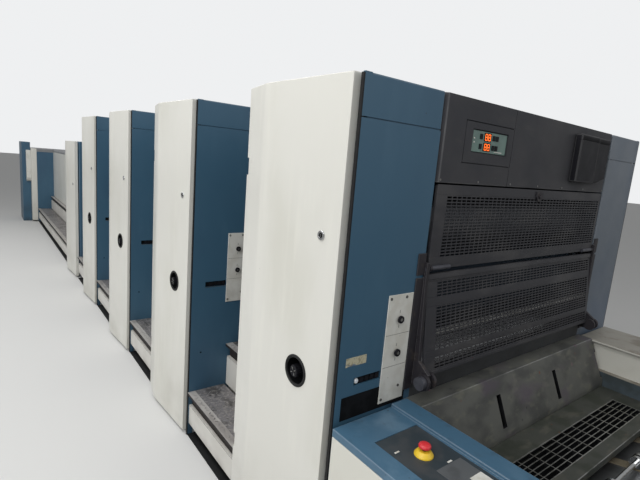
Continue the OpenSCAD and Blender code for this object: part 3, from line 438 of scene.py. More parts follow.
    LEDGE = Finish("wall_ledge_paint", "#424c52", 0.55, grain=0.0002, grain_size=0.003,
        specular=0.3, layers=(Mottle("#343a3a", 0.1, 0.7),))
    SLAB = Finish("wall_top_paint", "#928e84", 0.5, grain=0.0002, grain_size=0.003, layers=(
        Mottle("#70685c", 0.12, 0.8), Specks("#3c362e", 0.08, 0.006, 0.6)))
    DESK_BLUE = Finish("desk_top_paint", "#406178", 0.4, grain=0.0001, grain_size=0.003, layers=(
        Mottle("#607c90", 0.14, 0.5), Mottle("#384c5c", 0.05, 0.5, (1, 1, 1), 0.55, 0.75, 2.0),
        Specks("#22262c", 0.06, 0.004, 0.8, 1.0)))
    PANEL = Finish("desk_panel_black", "#323a3f", 0.42, grain=0.00008, grain_size=0.002,
        specular=0.3, layers=(Mottle("#444648", 0.07, 0.6), Specks("#646058", 0.04, 0.002, 0.6)))
    SUB_PANEL = Finish("desk_panel_grey", "#5c5f61", 0.45, metallic=0.2, grain=0.00008,
        grain_size=0.002, layers=(Mottle("#4a4c4e", 0.05, 0.6),))
    YELLOW = Finish("stop_yellow", "#deb028", 0.4, layers=(Mottle("#b28422", 0.012, 0.6),
        Specks("#463c28", 0.011, 0.0016, 0.8)))
    RED = Finish("stop_red", "#c42c32", 0.32, coat=0.3, layers=(Mottle("#a02834", 0.012, 0.6),))
    SCREEN = Finish("display_face", "#5c7870", 0.3, coat=0.5,
        layers=(Mottle("#4c6660", 0.05, 0.6),))
    DIGIT = Finish("display_digit", "#fa7428", 0.5, glow=1.05)
    LAMP = Finish("lamp_lens", "#e2e4e6", 0.2, coat=0.5, layers=(Mottle("#bec4cc", 0.005, 0.5),))
    TABLE = Finish("feed_table_steel", "#96989a", 0.32, metallic=0.9, grain=0.00005,
        grain_size=0.001, grain_stretch=(0.04, 1, 1),
        layers=(Mottle("#78797a", 0.12, 0.5, (0.3, 1, 1)),))
    TAPE = Finish("woven_tape", "#706856", 0.8, grain=0.0003, grain_size=0.002, layers=(
        Weave("#585040", 0.006, 0.6), Mottle("#605848", 0.1, 0.4)))
    ALUMINIUM = Finish("cast_aluminium", "#a8aaac", 0.4, metallic=0.8, grain=0.00015,
        grain_size=0.0016, layers=(Mottle("#868788", 0.08, 0.5),))
    WOOD = Finish("pile_board_wood", "#b29264", 0.62, grain=0.0003, grain_size=0.006,
        grain_stretch=(0.05, 1, 1), layers=(Mottle("#927048", 0.02, 0.6, (0.06, 1, 1)),
        Mottle("#c4a67a", 0.12, 0.5, (0.2, 1, 1), 0.45, 0.7, 3.0),
        Specks("#46382c", 0.12, 0.01, 0.4, 1.0)))
    HOOD = Finish("hood_coating", "#787a7c", 0.44, grain=0.00015, grain_size=0.003, layers=(
        Mottle("#686a6e", 0.3, 0.6), Specks("#464646", 0.1, 0.004, 0.5)))
    BOX = Finish("operating_box_paint", "#cecec8", 0.4, grain=0.0001, grain_size=0.003,
        layers=(Mottle("#bcbcb4", 0.1, 0.6),))


@dataclass(frozen=True)
class Round:
    """How the edges of a piece are rounded."""

    width: float
    segments: int = 3
    crease_width: float = 0.0

    def work(self, body: bmesh.types.BMesh, tint: int) -> None:
        """Rounds the sharp edges of faces that are wide enough for it.

        Args:
            body: The mesh, changed in place.
            tint: Material index of the rounded faces.
        """
        if self.crease_width:
            soft = [e for e in body.edges if len(e.link_faces) == 2
                    and math.radians(6) < e.calc_face_angle(0) < math.radians(30)
                    and e.calc_length() > 0.5]
            self.bevel(body, soft, self.crease_width, 5, -1)
        sharp = [e for e in body.edges if len(e.link_faces) == 2
                 and e.calc_face_angle(0) > math.radians(32)
                 and e.calc_length() > 2.5 * self.width
                 and all(self.breadth(f) > 2.5 * self.width for f in e.link_faces)]
        self.bevel(body, sharp, self.width, self.segments, tint)

    @staticmethod
    def breadth(face: bmesh.types.BMFace) -> float:
        """Returns about how wide a face is across its narrow way."""
        return 2 * face.calc_area() / max(face.calc_perimeter(), 1e-9)

    @staticmethod
    def bevel(body: bmesh.types.BMesh, edges: list, width: float, segments: int, tint: int) -> None:
        """Bevels the given edges, if there are any."""
        if edges:
            bmesh.ops.bevel(body, geom=edges, offset=width, offset_type="OFFSET", segments=segments,
                            profile=0.5, affect="EDGES", clamp_overlap=False, loop_slide=True,
                            material=tint)


def bake(obj: Piece) -> None:
    """Turns an object's modifiers into plain mesh.

    Args:
        obj: The object, whose modifiers are removed.
    """
    graph = bpy.context.evaluated_depsgraph_get()
    graph.update()
    mesh = bpy.data.meshes.new_from_object(obj.evaluated_get(graph), preserve_all_data_layers=True,
                                           depsgraph=graph)
    obj.modifiers.clear()
    old, obj.data = obj.data, mesh
    bpy.data.meshes.remove(old)
    mesh.name = obj.name


def mesh_of(name: str, body: bmesh.types.BMesh) -> bpy.types.Mesh:
    """Turns a bmesh into a mesh and frees it.

    Args:
        name: Name of the mesh.
        body: The bmesh.

    Returns:
        The new mesh.
    """
    mesh = bpy.data.meshes.new(name)
    body.to_mesh(mesh)
    body.free()
    return mesh


def link(name: str, mesh: bpy.types.Mesh) -> Piece:
    """Puts a mesh into the scene.

    Args:
        name: Name of the object.
        mesh: The mesh.

    Returns:
        The new object at the origin.
    """
    obj = bpy.data.objects.new(name, mesh)
    bpy.context.scene.collection.objects.link(obj)
    return obj


def soften(obj: Piece) -> None:
    """Smooths round faces and keeps flat ones flat.

    Args:
        obj: The object, changed in place.
    """
    obj.data.shade_smooth()
    obj.data.set_sharp_from_angle(angle=math.radians(36))
    weighted = obj.modifiers.new("weighted", "WEIGHTED_NORMAL")
    weighted.keep_sharp = True
    bake(obj)


def mount(obj: Piece, body: str, slot: str, *stood_for: str) -> Piece:
    """Ties a finished piece to its body and hides the nodes that it stands for.

    Args:
        obj: The finished piece.
        body: The body that it moves with.
        slot: The record's material slot; it is not used.
        stood_for: CAD nodes that the piece replaces.

    Returns:
        The same piece.
    """
    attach(obj, body)
    if stood_for:
        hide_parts(*stood_for)
    LOG.info("%s rides on %s with %d faces", obj.name, body, len(obj.data.polygons))
    return obj


class Shape:
    """Collects the solids of one piece. A tint is an index into the piece's finishes."""

    def __init__(self, name: str, *finishes: Finish) -> None:
        """Starts an empty piece.

        Args:
            name: The piece's name.
            finishes: Its finishes, which tints count from 0.
        """
        self.name = name
        self.finishes = finishes
        self.body = bmesh.new()

    def tinted(self, made: Sequence[bmesh.types.BMVert], tint: int) -> None:
        """Gives the faces round some new corners their finish."""
        for face in {f for v in made for f in v.link_faces}:
            face.material_index = tint

    def box(self, low: Point, high: Point, tint: int = 0) -> "Shape":
        """Adds a box between two corners."""
        size = [h - l for l, h in zip(low, high)]
        middle = Vector([(l + h) / 2 for l, h in zip(low, high)])
        made = bmesh.ops.create_cube(self.body, size=1.0, matrix=Matrix.Translation(middle)
                                     @ Matrix.Diagonal((*size, 1.0)))
        self.tinted(made["verts"], tint)
        return self

    def rod(self, start: Point, axis: Axis, length: float, radius: float, tint: int = 0,
            sides: int = 32, tip: float = -1.0) -> "Shape":
        """Adds a round bar or a cone.

        Args:
            start: Centre of its first end.
            axis: The way that it runs.
            length: Its length, negative to run backwards.
            radius: Its radius at the start.
            tint: Its finish.
            sides: Faces round it.
            tip: Radius at the far end, the same where it is negative.

        Returns:
            The shape itself.
        """
        way = Vector(axis.value) * (1 if length > 0 else -1)
        far = radius if tip < 0 else tip
        place = Matrix.Translation(Vector(start) + way * abs(length) / 2)
        turn = way.to_track_quat("Z", "Y").to_matrix().to_4x4()
        made = bmesh.ops.create_cone(self.body, cap_ends=True, segments=sides, radius1=radius,
                                     radius2=far, depth=abs(length), matrix=place @ turn)
        self.tinted(made["verts"], tint)
        return self

    def prism(self, outline: Sequence[Point], along: Point,
              tint: int = 0) -> "Shape":
        """Adds a flat outline drawn out along a vector.

        Args:
            outline: Corners in order, each a point in space.
            along: The vector that it is drawn along.
            tint: Its finish.

        Returns:
            The shape itself.
        """
        ends = [[self.body.verts.new(Vector(p) + Vector(along) * share) for p in outline]
                for share in (0, 1)]
        faces = [self.body.faces.new(ends[0]), self.body.faces.new(ends[1])]
        count = len(outline)
        for i in range(count):
            j = (i + 1) % count
            faces.append(self.body.faces.new((ends[0][i], ends[0][j], ends[1][j], ends[1][i])))
        bmesh.ops.recalc_face_normals(self.body, faces=faces)
        for face in faces:
            face.material_index = tint
        return self

    def turned(self, centre: Point, way: Point,
               profile: Sequence[Span], tint: int = 0, sides: int = 40,
               closed: bool = False) -> "Shape":
        """Adds a turned form.

        Args:
            centre: Point on the axis from which heights count.
            way: Direction of the axis.
            profile: Pairs of radius and height, a radius of 0 closing an end.
            tint: Its finish.
            sides: Faces round it.
            closed: Whether the last ring joins the first, as on a torus.

        Returns:
            The shape itself.
        """
        frame_of = Vector(way).to_track_quat("Z", "Y").to_matrix()
        rings = []
        for radius, height in profile:
            if radius < 1e-6:
                rings.append([self.body.verts.new(Vector(centre) + frame_of @ Vector((0, 0, height)))])
                continue
            rings.append([self.body.verts.new(Vector(centre) + frame_of @ Vector(
                (radius * math.cos(math.tau * i / sides), radius * math.sin(math.tau * i / sides),
                 height))) for i in range(sides)])
        pairs = list(zip(rings, rings[1:])) + ([(rings[-1], rings[0])] if closed else [])
        faces = []
        for low, high in pairs:
            for i in range(sides):
                j = (i + 1) % sides
                if len(low) == 1:
                    faces.append(self.body.faces.new((low[0], high[j], high[i])))
                elif len(high) == 1:
                    faces.append(self.body.faces.new((low[i], low[j], high[0])))
                else:
                    faces.append(self.body.faces.new((low[i], low[j], high[j], high[i])))
        bmesh.ops.recalc_face_normals(self.body, faces=faces)
        for face in faces:
            face.material_index = tint
        return self

    def copy_of(self, mesh: bpy.types.Mesh, place: Matrix) -> "Shape":
        """Adds a copy of a finished mesh at a place, tints kept."""
        before = len(self.body.verts)
        self.body.from_mesh(mesh)
        self.body.verts.ensure_lookup_table()
        bmesh.ops.transform(self.body, matrix=place, verts=self.body.verts[before:])
        return self

    def made(self, rounding: Union[Round, None] = None, edge_tint: int = -1) -> Piece:
        """Turns the collected solids into an object.

        Args:
            rounding: How its edges are rounded.
            edge_tint: Tint of the rounded faces, or -1 to keep each face's own.

        Returns:
            The new object at the origin.
        """
        if rounding:
            rounding.work(self.body, edge_tint)
        mesh = mesh_of(self.name, self.body)
        for finish in self.finishes:
            mesh.materials.append(finish.material())
        obj = link(self.name, mesh)
        soften(obj)
        return obj


@dataclass(frozen=True)
class Zone:
    """Heights and a width of a shell between which its faces have a finish of their own."""

    low: float
    high: float
    finish: Finish
    across: Span = (-math.inf, math.inf)
    steepest: float = 0.5

    def holds(self, face: bmesh.types.BMFace) -> bool:
        """Returns whether a face lies in the zone and its normal rises no more than steepest."""
        near = 0.0025
        return abs(face.normal.z) < self.steepest and all(
            self.low - near <= corner.co.z <= self.high + near
            and self.across[0] - near <= corner.co.y <= self.across[1] + near for corner in face.verts)


@dataclass
class Shell:
    """A CAD node's own form with rounded edges, its finish and fine grooves cut out as boxes."""

    node: str
    slot: str
    finish: Finish
    rounding: Round
    body: str = FIXED
    worn: float = 0.35
    grooves: Sequence[Box] = ()
    zones: Sequence[Zone] = ()

    def build(self) -> Piece:
        """Copies the node, merges it, rounds it and puts it in the node's place.

        Returns:
            The new piece.
        """
        mesh = self.merged()
        obj = link(self.node + "_shell", mesh)
        for finish in (self.finish, self.finish.worn(self.worn), *(zone.finish for zone in self.zones)):
            mesh.materials.append(finish.material())
        if self.grooves:
            self.cut(obj)
        soften(obj)
        return mount(obj, self.body, self.slot, self.node)

    def merged(self) -> bpy.types.Mesh:
        """Merges the node's mesh, joins its flat faces and rounds its edges.

        Returns:
            The new mesh.
        """
        body = bmesh.new()
        body.from_mesh(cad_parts[self.node].data)
        bmesh.ops.remove_doubles(body, verts=body.verts, dist=2e-5)
        bmesh.ops.dissolve_limit(body, angle_limit=math.radians(0.6), verts=body.verts,
                                 edges=body.edges)
        for face in body.faces:
            face.material_index = 0
        self.rounding.work(body, 1)
        for face in body.faces:
            for tint, zone in enumerate(self.zones, 2):
                if zone.holds(face):
                    face.material_index = tint
        return mesh_of(self.node + "_shell", body)

    def cut(self, obj: Piece) -> None:
        """Cuts the grooves out of the piece.

        Args:
            obj: The piece, changed in place.
        """
        knife = Shape("knife")
        for low, high in self.grooves:
            knife.box(low, high)
        tool = plain("knife", knife)
        boolean = obj.modifiers.new("grooves", "BOOLEAN")
        boolean.operation = "DIFFERENCE"
        boolean.solver = "EXACT"
        boolean.use_self = True  # the grooves touch each other
        boolean.object = tool
        bake(obj)
        bpy.data.objects.remove(tool)


def shells(*rows: tuple[str, str, Finish, float, int, float]) -> None:
    """Builds shells that need nothing more.

    Args:
        rows: Node, slot, finish, width and segments of the rounding, and wear of the edges of each.
    """
    for node, slot, finish, width, segments, worn in rows:
        Shell(node, slot, finish, Round(width, segments), worn=worn).build()


class Graph(Tree):
    """Geometry node tree with named inputs."""

    def __init__(self, name: str) -> None:
        """Makes the tree with its geometry input and output.

        Args:
            name: Name of the tree.
        """
        super().__init__(bpy.data.node_groups.new(name, "GeometryNodeTree"))
        for way in ("INPUT", "OUTPUT"):
            self.tree.interface.new_socket("Geometry", in_out=way, socket_type="NodeSocketGeometry")
        self.entry = self.node("NodeGroupInput")
        self.exit = self.node("NodeGroupOutput")

    def asks(self, name: str, kind: str = "Float") -> Socket:
        """Adds a named input and returns it as a socket to read."""
        self.tree.interface.new_socket(name, in_out="INPUT", socket_type="NodeSocket" + kind)
        return self.entry.outputs[name]

    def vector(self, x: Value = 0.0, y: Value = 0.0, z: Value = 0.0) -> Socket:
        """Returns a vector made of three values."""
        return self.node("ShaderNodeCombineXYZ", {"X": x, "Y": y, "Z": z}).outputs[0]

    def line(self, count: Value, start: Socket, step: Socket) -> Socket:
        """Returns a row of points."""
        return self.node("GeometryNodeMeshLine", {"Count": count, "Start Location": start,
                                                  "Offset": step}, mode="OFFSET").outputs["Mesh"]

    def cuboid(self, size: Socket, place: Socket) -> Socket:
        """Returns a box of a size, its middle at a place."""
        cube = self.node("GeometryNodeMeshCube", {"Size": size}).outputs["Mesh"]
        return self.node("GeometryNodeTransform", {"Geometry": cube, "Translation": place}).outputs[0]

    def copies(self, points: Socket, shape: Socket, turn: Union[Socket, None] = None) -> Socket:
        """Returns real copies of a shape on points, turned by a rotation if one is given."""
        inputs: dict[str, object] = {"Points": points, "Instance": shape}
        if turn is not None:
            inputs["Rotation"] = turn
        made = self.node("GeometryNodeInstanceOnPoints", inputs).outputs[0]
        return self.node("GeometryNodeRealizeInstances", {"Geometry": made}).outputs[0]

    def ends(self, shapes: Sequence[Socket], finish: Socket) -> None:
        """Joins the shapes, makes them real, gives them their finish and ends the tree."""
        join = self.tree.nodes.new("GeometryNodeJoinGeometry")
        for shape in reversed(shapes):
            self.tree.links.new(shape, join.inputs[0])
        real = self.node("GeometryNodeRealizeInstances", {"Geometry": join.outputs[0]}).outputs[0]
        painted = self.node("GeometryNodeSetMaterial", {"Geometry": real, "Material": finish})
        self.tree.links.new(painted.outputs[0], self.exit.inputs[0])

    def run(self, obj: Piece, values: dict[str, object]) -> Piece:
        """Runs the tree on an object and keeps the result as plain mesh.

        Args:
            obj: The object whose mesh goes in.
            values: The inputs by name.

        Returns:
            The same object with the finished mesh.
        """
        nodes = obj.modifiers.new(self.tree.name, "NODES")
        nodes.node_group = self.tree
        for item in self.tree.interface.items_tree:
            if item.item_type == "SOCKET" and item.in_out == "INPUT" and item.name in values:
                nodes[item.identifier] = values[item.name]
        bake(obj)
        return obj


def rows_graph() -> Graph:
    """Makes the tree that lays copies of the input mesh in rows and columns, every second turned.

    Returns:
        The tree.
    """
    graph = Graph("rows_of_copies")
    start = graph.asks("Start", "Vector")
    columns = graph.asks("Columns", "Int")
    column_step = graph.asks("Column Step", "Vector")
    rows = graph.asks("Rows", "Int")
    row_step = graph.asks("Row Step", "Vector")
    turn = graph.asks("Turn")
    finish = graph.asks("Finish", "Material")
    row = graph.line(columns, start, column_step)
    origin = graph.vector()
    points = graph.copies(graph.line(rows, origin, row_step), row)
    index = graph.node("GeometryNodeInputIndex").outputs[0]
    every_second = graph.calc("MODULO", index, 2.0)
    angle = graph.vector(0.0, 0.0, graph.calc("MULTIPLY", every_second, turn))
    graph.ends([graph.copies(points, graph.entry.outputs["Geometry"], angle)], finish)
    return graph


def ring_graph() -> Graph:
    """Makes the tree that lays copies of the input mesh round the Z axis.

    Returns:
        The tree.
    """
    graph = Graph("ring_of_copies")
    count = graph.asks("Count", "Int")
    radius = graph.asks("Radius")
    finish = graph.asks("Finish", "Material")
    circle = graph.node("GeometryNodeMeshCircle", {"Vertices": count, "Radius": radius}).outputs[0]
    index = graph.node("GeometryNodeInputIndex").outputs[0]
    angle = graph.calc("DIVIDE", graph.calc("MULTIPLY", index, math.tau), count)
    turn = graph.vector(0.0, 0.0, angle)
    graph.ends([graph.copies(circle, graph.entry.outputs["Geometry"], turn)], finish)
    return graph


def screw_graph() -> Graph:
    """Makes the tree that puts a screw with a sunk socket on each input point, its head along Z.

    Returns:
        The tree.
    """
    graph = Graph("socket_screws")
    radius = graph.asks("Radius")
    height = graph.asks("Height")
    finish = graph.asks("Finish", "Material")
    head = graph.node("GeometryNodeMeshCylinder", {"Vertices": 14, "Radius": radius, "Depth": height})
    rim = graph.node("GeometryNodeExtrudeMesh", {"Mesh": head.outputs["Mesh"],
                                                 "Selection": head.outputs["Top"],
                                                 "Offset Scale": 0.0})
    inner = graph.node("GeometryNodeScaleElements", {"Geometry": rim.outputs["Mesh"],
                                                     "Selection": rim.outputs["Top"], "Scale": 0.5})
    depth = graph.calc("MULTIPLY", height, -0.7)
    sunk = graph.node("GeometryNodeExtrudeMesh", {"Mesh": inner.outputs[0],
                                                  "Selection": rim.outputs["Top"],
                                                  "Offset Scale": depth})
    graph.ends([graph.copies(graph.entry.outputs["Geometry"], sunk.outputs["Mesh"])], finish)
    return graph


def slotted_graph() -> Graph:
    """Makes the tree of one field of short slots in Y and Z, its lower corner at Start.

    Returns:
        The tree.
    """
    graph = Graph("slot_field")
    start = graph.asks("Start", "Vector")
    width, height, depth = graph.asks("Width"), graph.asks("Height"), graph.asks("Depth")
    pitch, slot = graph.asks("Slot Pitch"), graph.asks("Slot Height")
    bay, rib = graph.asks("Bay"), graph.asks("Rib Width")
    finish = graph.asks("Finish", "Material")
    rows = graph.calc("ROUND", graph.calc("DIVIDE", height, pitch))
    step = graph.calc("DIVIDE", height, rows)
    bar = graph.calc("SUBTRACT", step, slot)
    back = graph.calc("MULTIPLY", depth, -0.5)
    slat = graph.cuboid(graph.vector(depth, width, bar), graph.vector(
        back, graph.calc("MULTIPLY", width, 0.5), graph.calc("ADD", slot, graph.calc("MULTIPLY", bar, 0.5))))
    slats = graph.copies(graph.line(rows, start, graph.vector(0.0, 0.0, step)), slat)
    columns = graph.calc("ROUND", graph.calc("DIVIDE", width, bay))
    stride = graph.calc("DIVIDE", width, columns)
    upright = graph.cuboid(
        graph.vector(graph.calc("MULTIPLY", depth, 0.9), rib, height),
        graph.vector(back, stride, graph.calc("MULTIPLY", height, 0.5)))
    uprights = graph.copies(graph.line(graph.calc("SUBTRACT", columns, 1.0), start,
                                       graph.vector(0.0, stride, 0.0)), upright)
    graph.ends([slats, uprights], finish)
    return graph


class Tools:
    """The node trees, made once."""

    rows: Graph
    ring: Graph
    screws: Graph
    slotted: Graph

    @classmethod
    def make(cls) -> None:
        """Builds every tree."""
        cls.rows = rows_graph()
        cls.ring = ring_graph()
        cls.screws = screw_graph()
        cls.slotted = slotted_graph()


def plain(name: str, shape: Shape) -> Piece:
    """Returns a shape as a bare object, to feed a node tree or to cut with."""
    return link(name, mesh_of(name, shape.body))


def laid(name: str, shape: Shape, finish: Finish, start: Vec, columns: tuple[int, Vec],
         rows: tuple[int, Vec] = (1, (0, 0, 0)), turn: float = 0.0) -> Piece:
    """Lays copies of a small shape in rows and columns.

    Args:
        name: Name of the result.
        shape: The shape, near the origin.
        finish: Finish of all copies.
        start: Place of the first copy.
        columns: Copies in a row, and the step between them.
        rows: Rows, and the step between them.
        turn: Turn about Z of every second copy.

    Returns:
        The object with all copies.
    """
    return Tools.rows.run(plain(name, shape), {
        "Start": start, "Columns": columns[0], "Column Step": columns[1], "Rows": rows[0],
        "Row Step": rows[1], "Turn": turn, "Finish": finish.material()})


def screws(name: str, points: Sequence[Vec], way: Axis, forward: bool, radius: float,
           finish: Finish, height: float = 0.003) -> Piece:
    """Puts a screw on each point.

    Args:
        name: Name of the result.
        points: Places of the screws on their surface.
        way: Axis that the heads point along.
        forward: Whether they point the positive way.
        radius: Radius of a head.
        finish: Finish of the screws.
        height: Height of a head.

    Returns:
        The object with all screws.
    """
    turn = (Vector(way.value) * (1 if forward else -1)).to_track_quat("Z", "Y").to_matrix().to_4x4()
    body = bmesh.new()
    for point in points:
        body.verts.new(turn.inverted() @ Vector(point))
    obj = Tools.screws.run(link(name, mesh_of(name, body)), {
        "Radius": radius, "Height": height, "Finish": finish.material()})
    obj.data.transform(turn)
    return obj


def joined(name: str, parts: Sequence[Piece]) -> Piece:
    """Joins finished objects into one, with their materials kept.

    Args:
        name: Name of the result.
        parts: Objects at the origin.

    Returns:
        The joined object.
    """
    body = bmesh.new()
    materials: list[bpy.types.Material] = []
    for part in parts:
        shift = []
        for material in part.data.materials:
            if material not in materials:
                materials.append(material)
            shift.append(materials.index(material))
        before = len(body.faces)
        body.from_mesh(part.data)
        body.faces.ensure_lookup_table()
        for face in body.faces[before:]:
            face.material_index = shift[face.material_index] if shift else 0
    mesh = mesh_of(name, body)
    for material in materials:
        mesh.materials.append(material)
    for part in parts:
        old = part.data
        bpy.data.objects.remove(part)
        bpy.data.meshes.remove(old)
    obj = link(name, mesh)
    obj.data.shade_smooth()
    obj.data.set_sharp_from_angle(angle=math.radians(36))
    return obj


@dataclass(frozen=True)
class Row:
    """Places that the sub-assemblies share, read off the frame."""

    centres: tuple[float, ...]
    half: float
    core: float
    side: float

    @classmethod
    def read(cls) -> "Row":
        """Returns the row's places from the CAD nodes."""
        first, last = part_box("unit_1_door")[1].x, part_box("unit_4_door")[1].x
        pitch = (first - last) / (UNITS - 1)
        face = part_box("front_covers")[1].x
        half = (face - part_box("operator_housings")[0].x - pitch * (UNITS - 1)) / 2
        centres = tuple(face - half - pitch * i for i in range(UNITS))
        return cls(centres, half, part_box("front_covers")[1].y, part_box("drive_housings")[1].y)

    @property
    def face(self) -> float:
        """Front face of the first unit."""
        return self.centres[0] + self.half

    @property
    def faces(self) -> tuple[float, ...]:
        """Front faces of all units."""
        return tuple(centre + self.half for centre in self.centres)


@dataclass
class Doors:
    """The white doors with their hand holes and locks."""

    thickness: float = 0.036
    crease: float = 0.033
    crease_l: float = 0.460
    hole_x: float = 0.170
    hole_z: float = 0.905
    hole_r: float = 0.054
    lock_x: float = 0.087
    lock_z: float = 1.425
    lock_r: float = 0.0165

    def build(self) -> None:
        """Builds the five doors."""
        for name in (*(f"unit_{i + 1}_door" for i in range(UNITS)), "delivery_door"):
            Shell(name, "door_white", Paint.DOOR, Round(0.004, 3, 0.03), name, worn=0.0).build()
            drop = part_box("unit_1_door")[1].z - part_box(name)[1].z
            self.fittings(name, self.lock_z - drop, name != "delivery_door")
        shells(("door_hinges", "hinge_steel", Paint.ZINC, 0.001, 2, 0.35))

    def front_y(self, door: str, back: float) -> float:
        """Returns the y of a door's front at a distance behind its lock edge."""
        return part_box(door)[1].y - self.thickness - self.crease * back / self.crease_l

    def fittings(self, door: str, lock_z: float, hole: bool) -> None:
        """Builds the lock, and the rubber ring and the sleeve of painted shade in the hand hole.

        Args:
            door: The door's name.
            lock_z: Height of its lock.
            hole: Whether it has a hand hole.
        """
        lock_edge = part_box(door)[1].x
        way = Vector((self.crease, -self.crease_l, 0)).normalized()
        shape = Shape(door + "_fittings", Paint.RUBBER, Paint.CHROME, Paint.BLACK_AND_SHADE)
        at = (lock_edge - self.lock_x, self.front_y(door, self.lock_x), lock_z)
        r = self.lock_r
        shape.turned(at, way, [(r, 0.0), (r, 0.0034), (r - 0.0012, 0.0046), (r * 0.62, 0.0046),
                               (r * 0.58, 0.0036), (0.0, 0.0036)], 1)
        shape.turned(at, way, [(r * 0.5, 0.003), (r * 0.5, 0.0044), (0.0, 0.0044)], 2)
        slot = Vector(at) + way * 0.0044
        shape.box(slot - Vector((0.0012, 0.0003, 0.005)), slot + Vector((0.0012, 0.0003, 0.005)), 1)
        if hole:
            self.ring(shape, door, lock_edge, way)
        mount(shape.made(), door, "knob_black")

    def ring(self, shape: Shape, door: str, lock_edge: float, way: Vector) -> None:
        """Adds the rubber ring on the door's front and the near-black sleeve inside the hole, painted shade
        of its inner wall.

        Args:
            shape: The fittings' shape.
            door: The door's name.
            lock_edge: Place of its lock edge along the press.
            way: The way that its front faces.
        """
        at = (lock_edge - self.hole_x, self.front_y(door, self.hole_x), self.hole_z)
        r = self.hole_r
        shape.turned(at, way, [(r - 0.005, -0.004), (r - 0.005, 0.0015), (r - 0.002, 0.0042),
                               (r + 0.003, 0.0042), (r + 0.0065, 0.0015), (r + 0.0065, -0.001)],
                     0, 56, True)
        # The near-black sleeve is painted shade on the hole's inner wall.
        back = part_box(door)[1].y
        shape.turned((at[0], back, at[2]), (0, -1, 0),
                     [(r - 0.0002, 0.0005), (r - 0.003, 0.0005), (r - 0.003, back - at[1] - 0.001),
                      (r - 0.0002, back - at[1] - 0.005)], 2, 56, True)


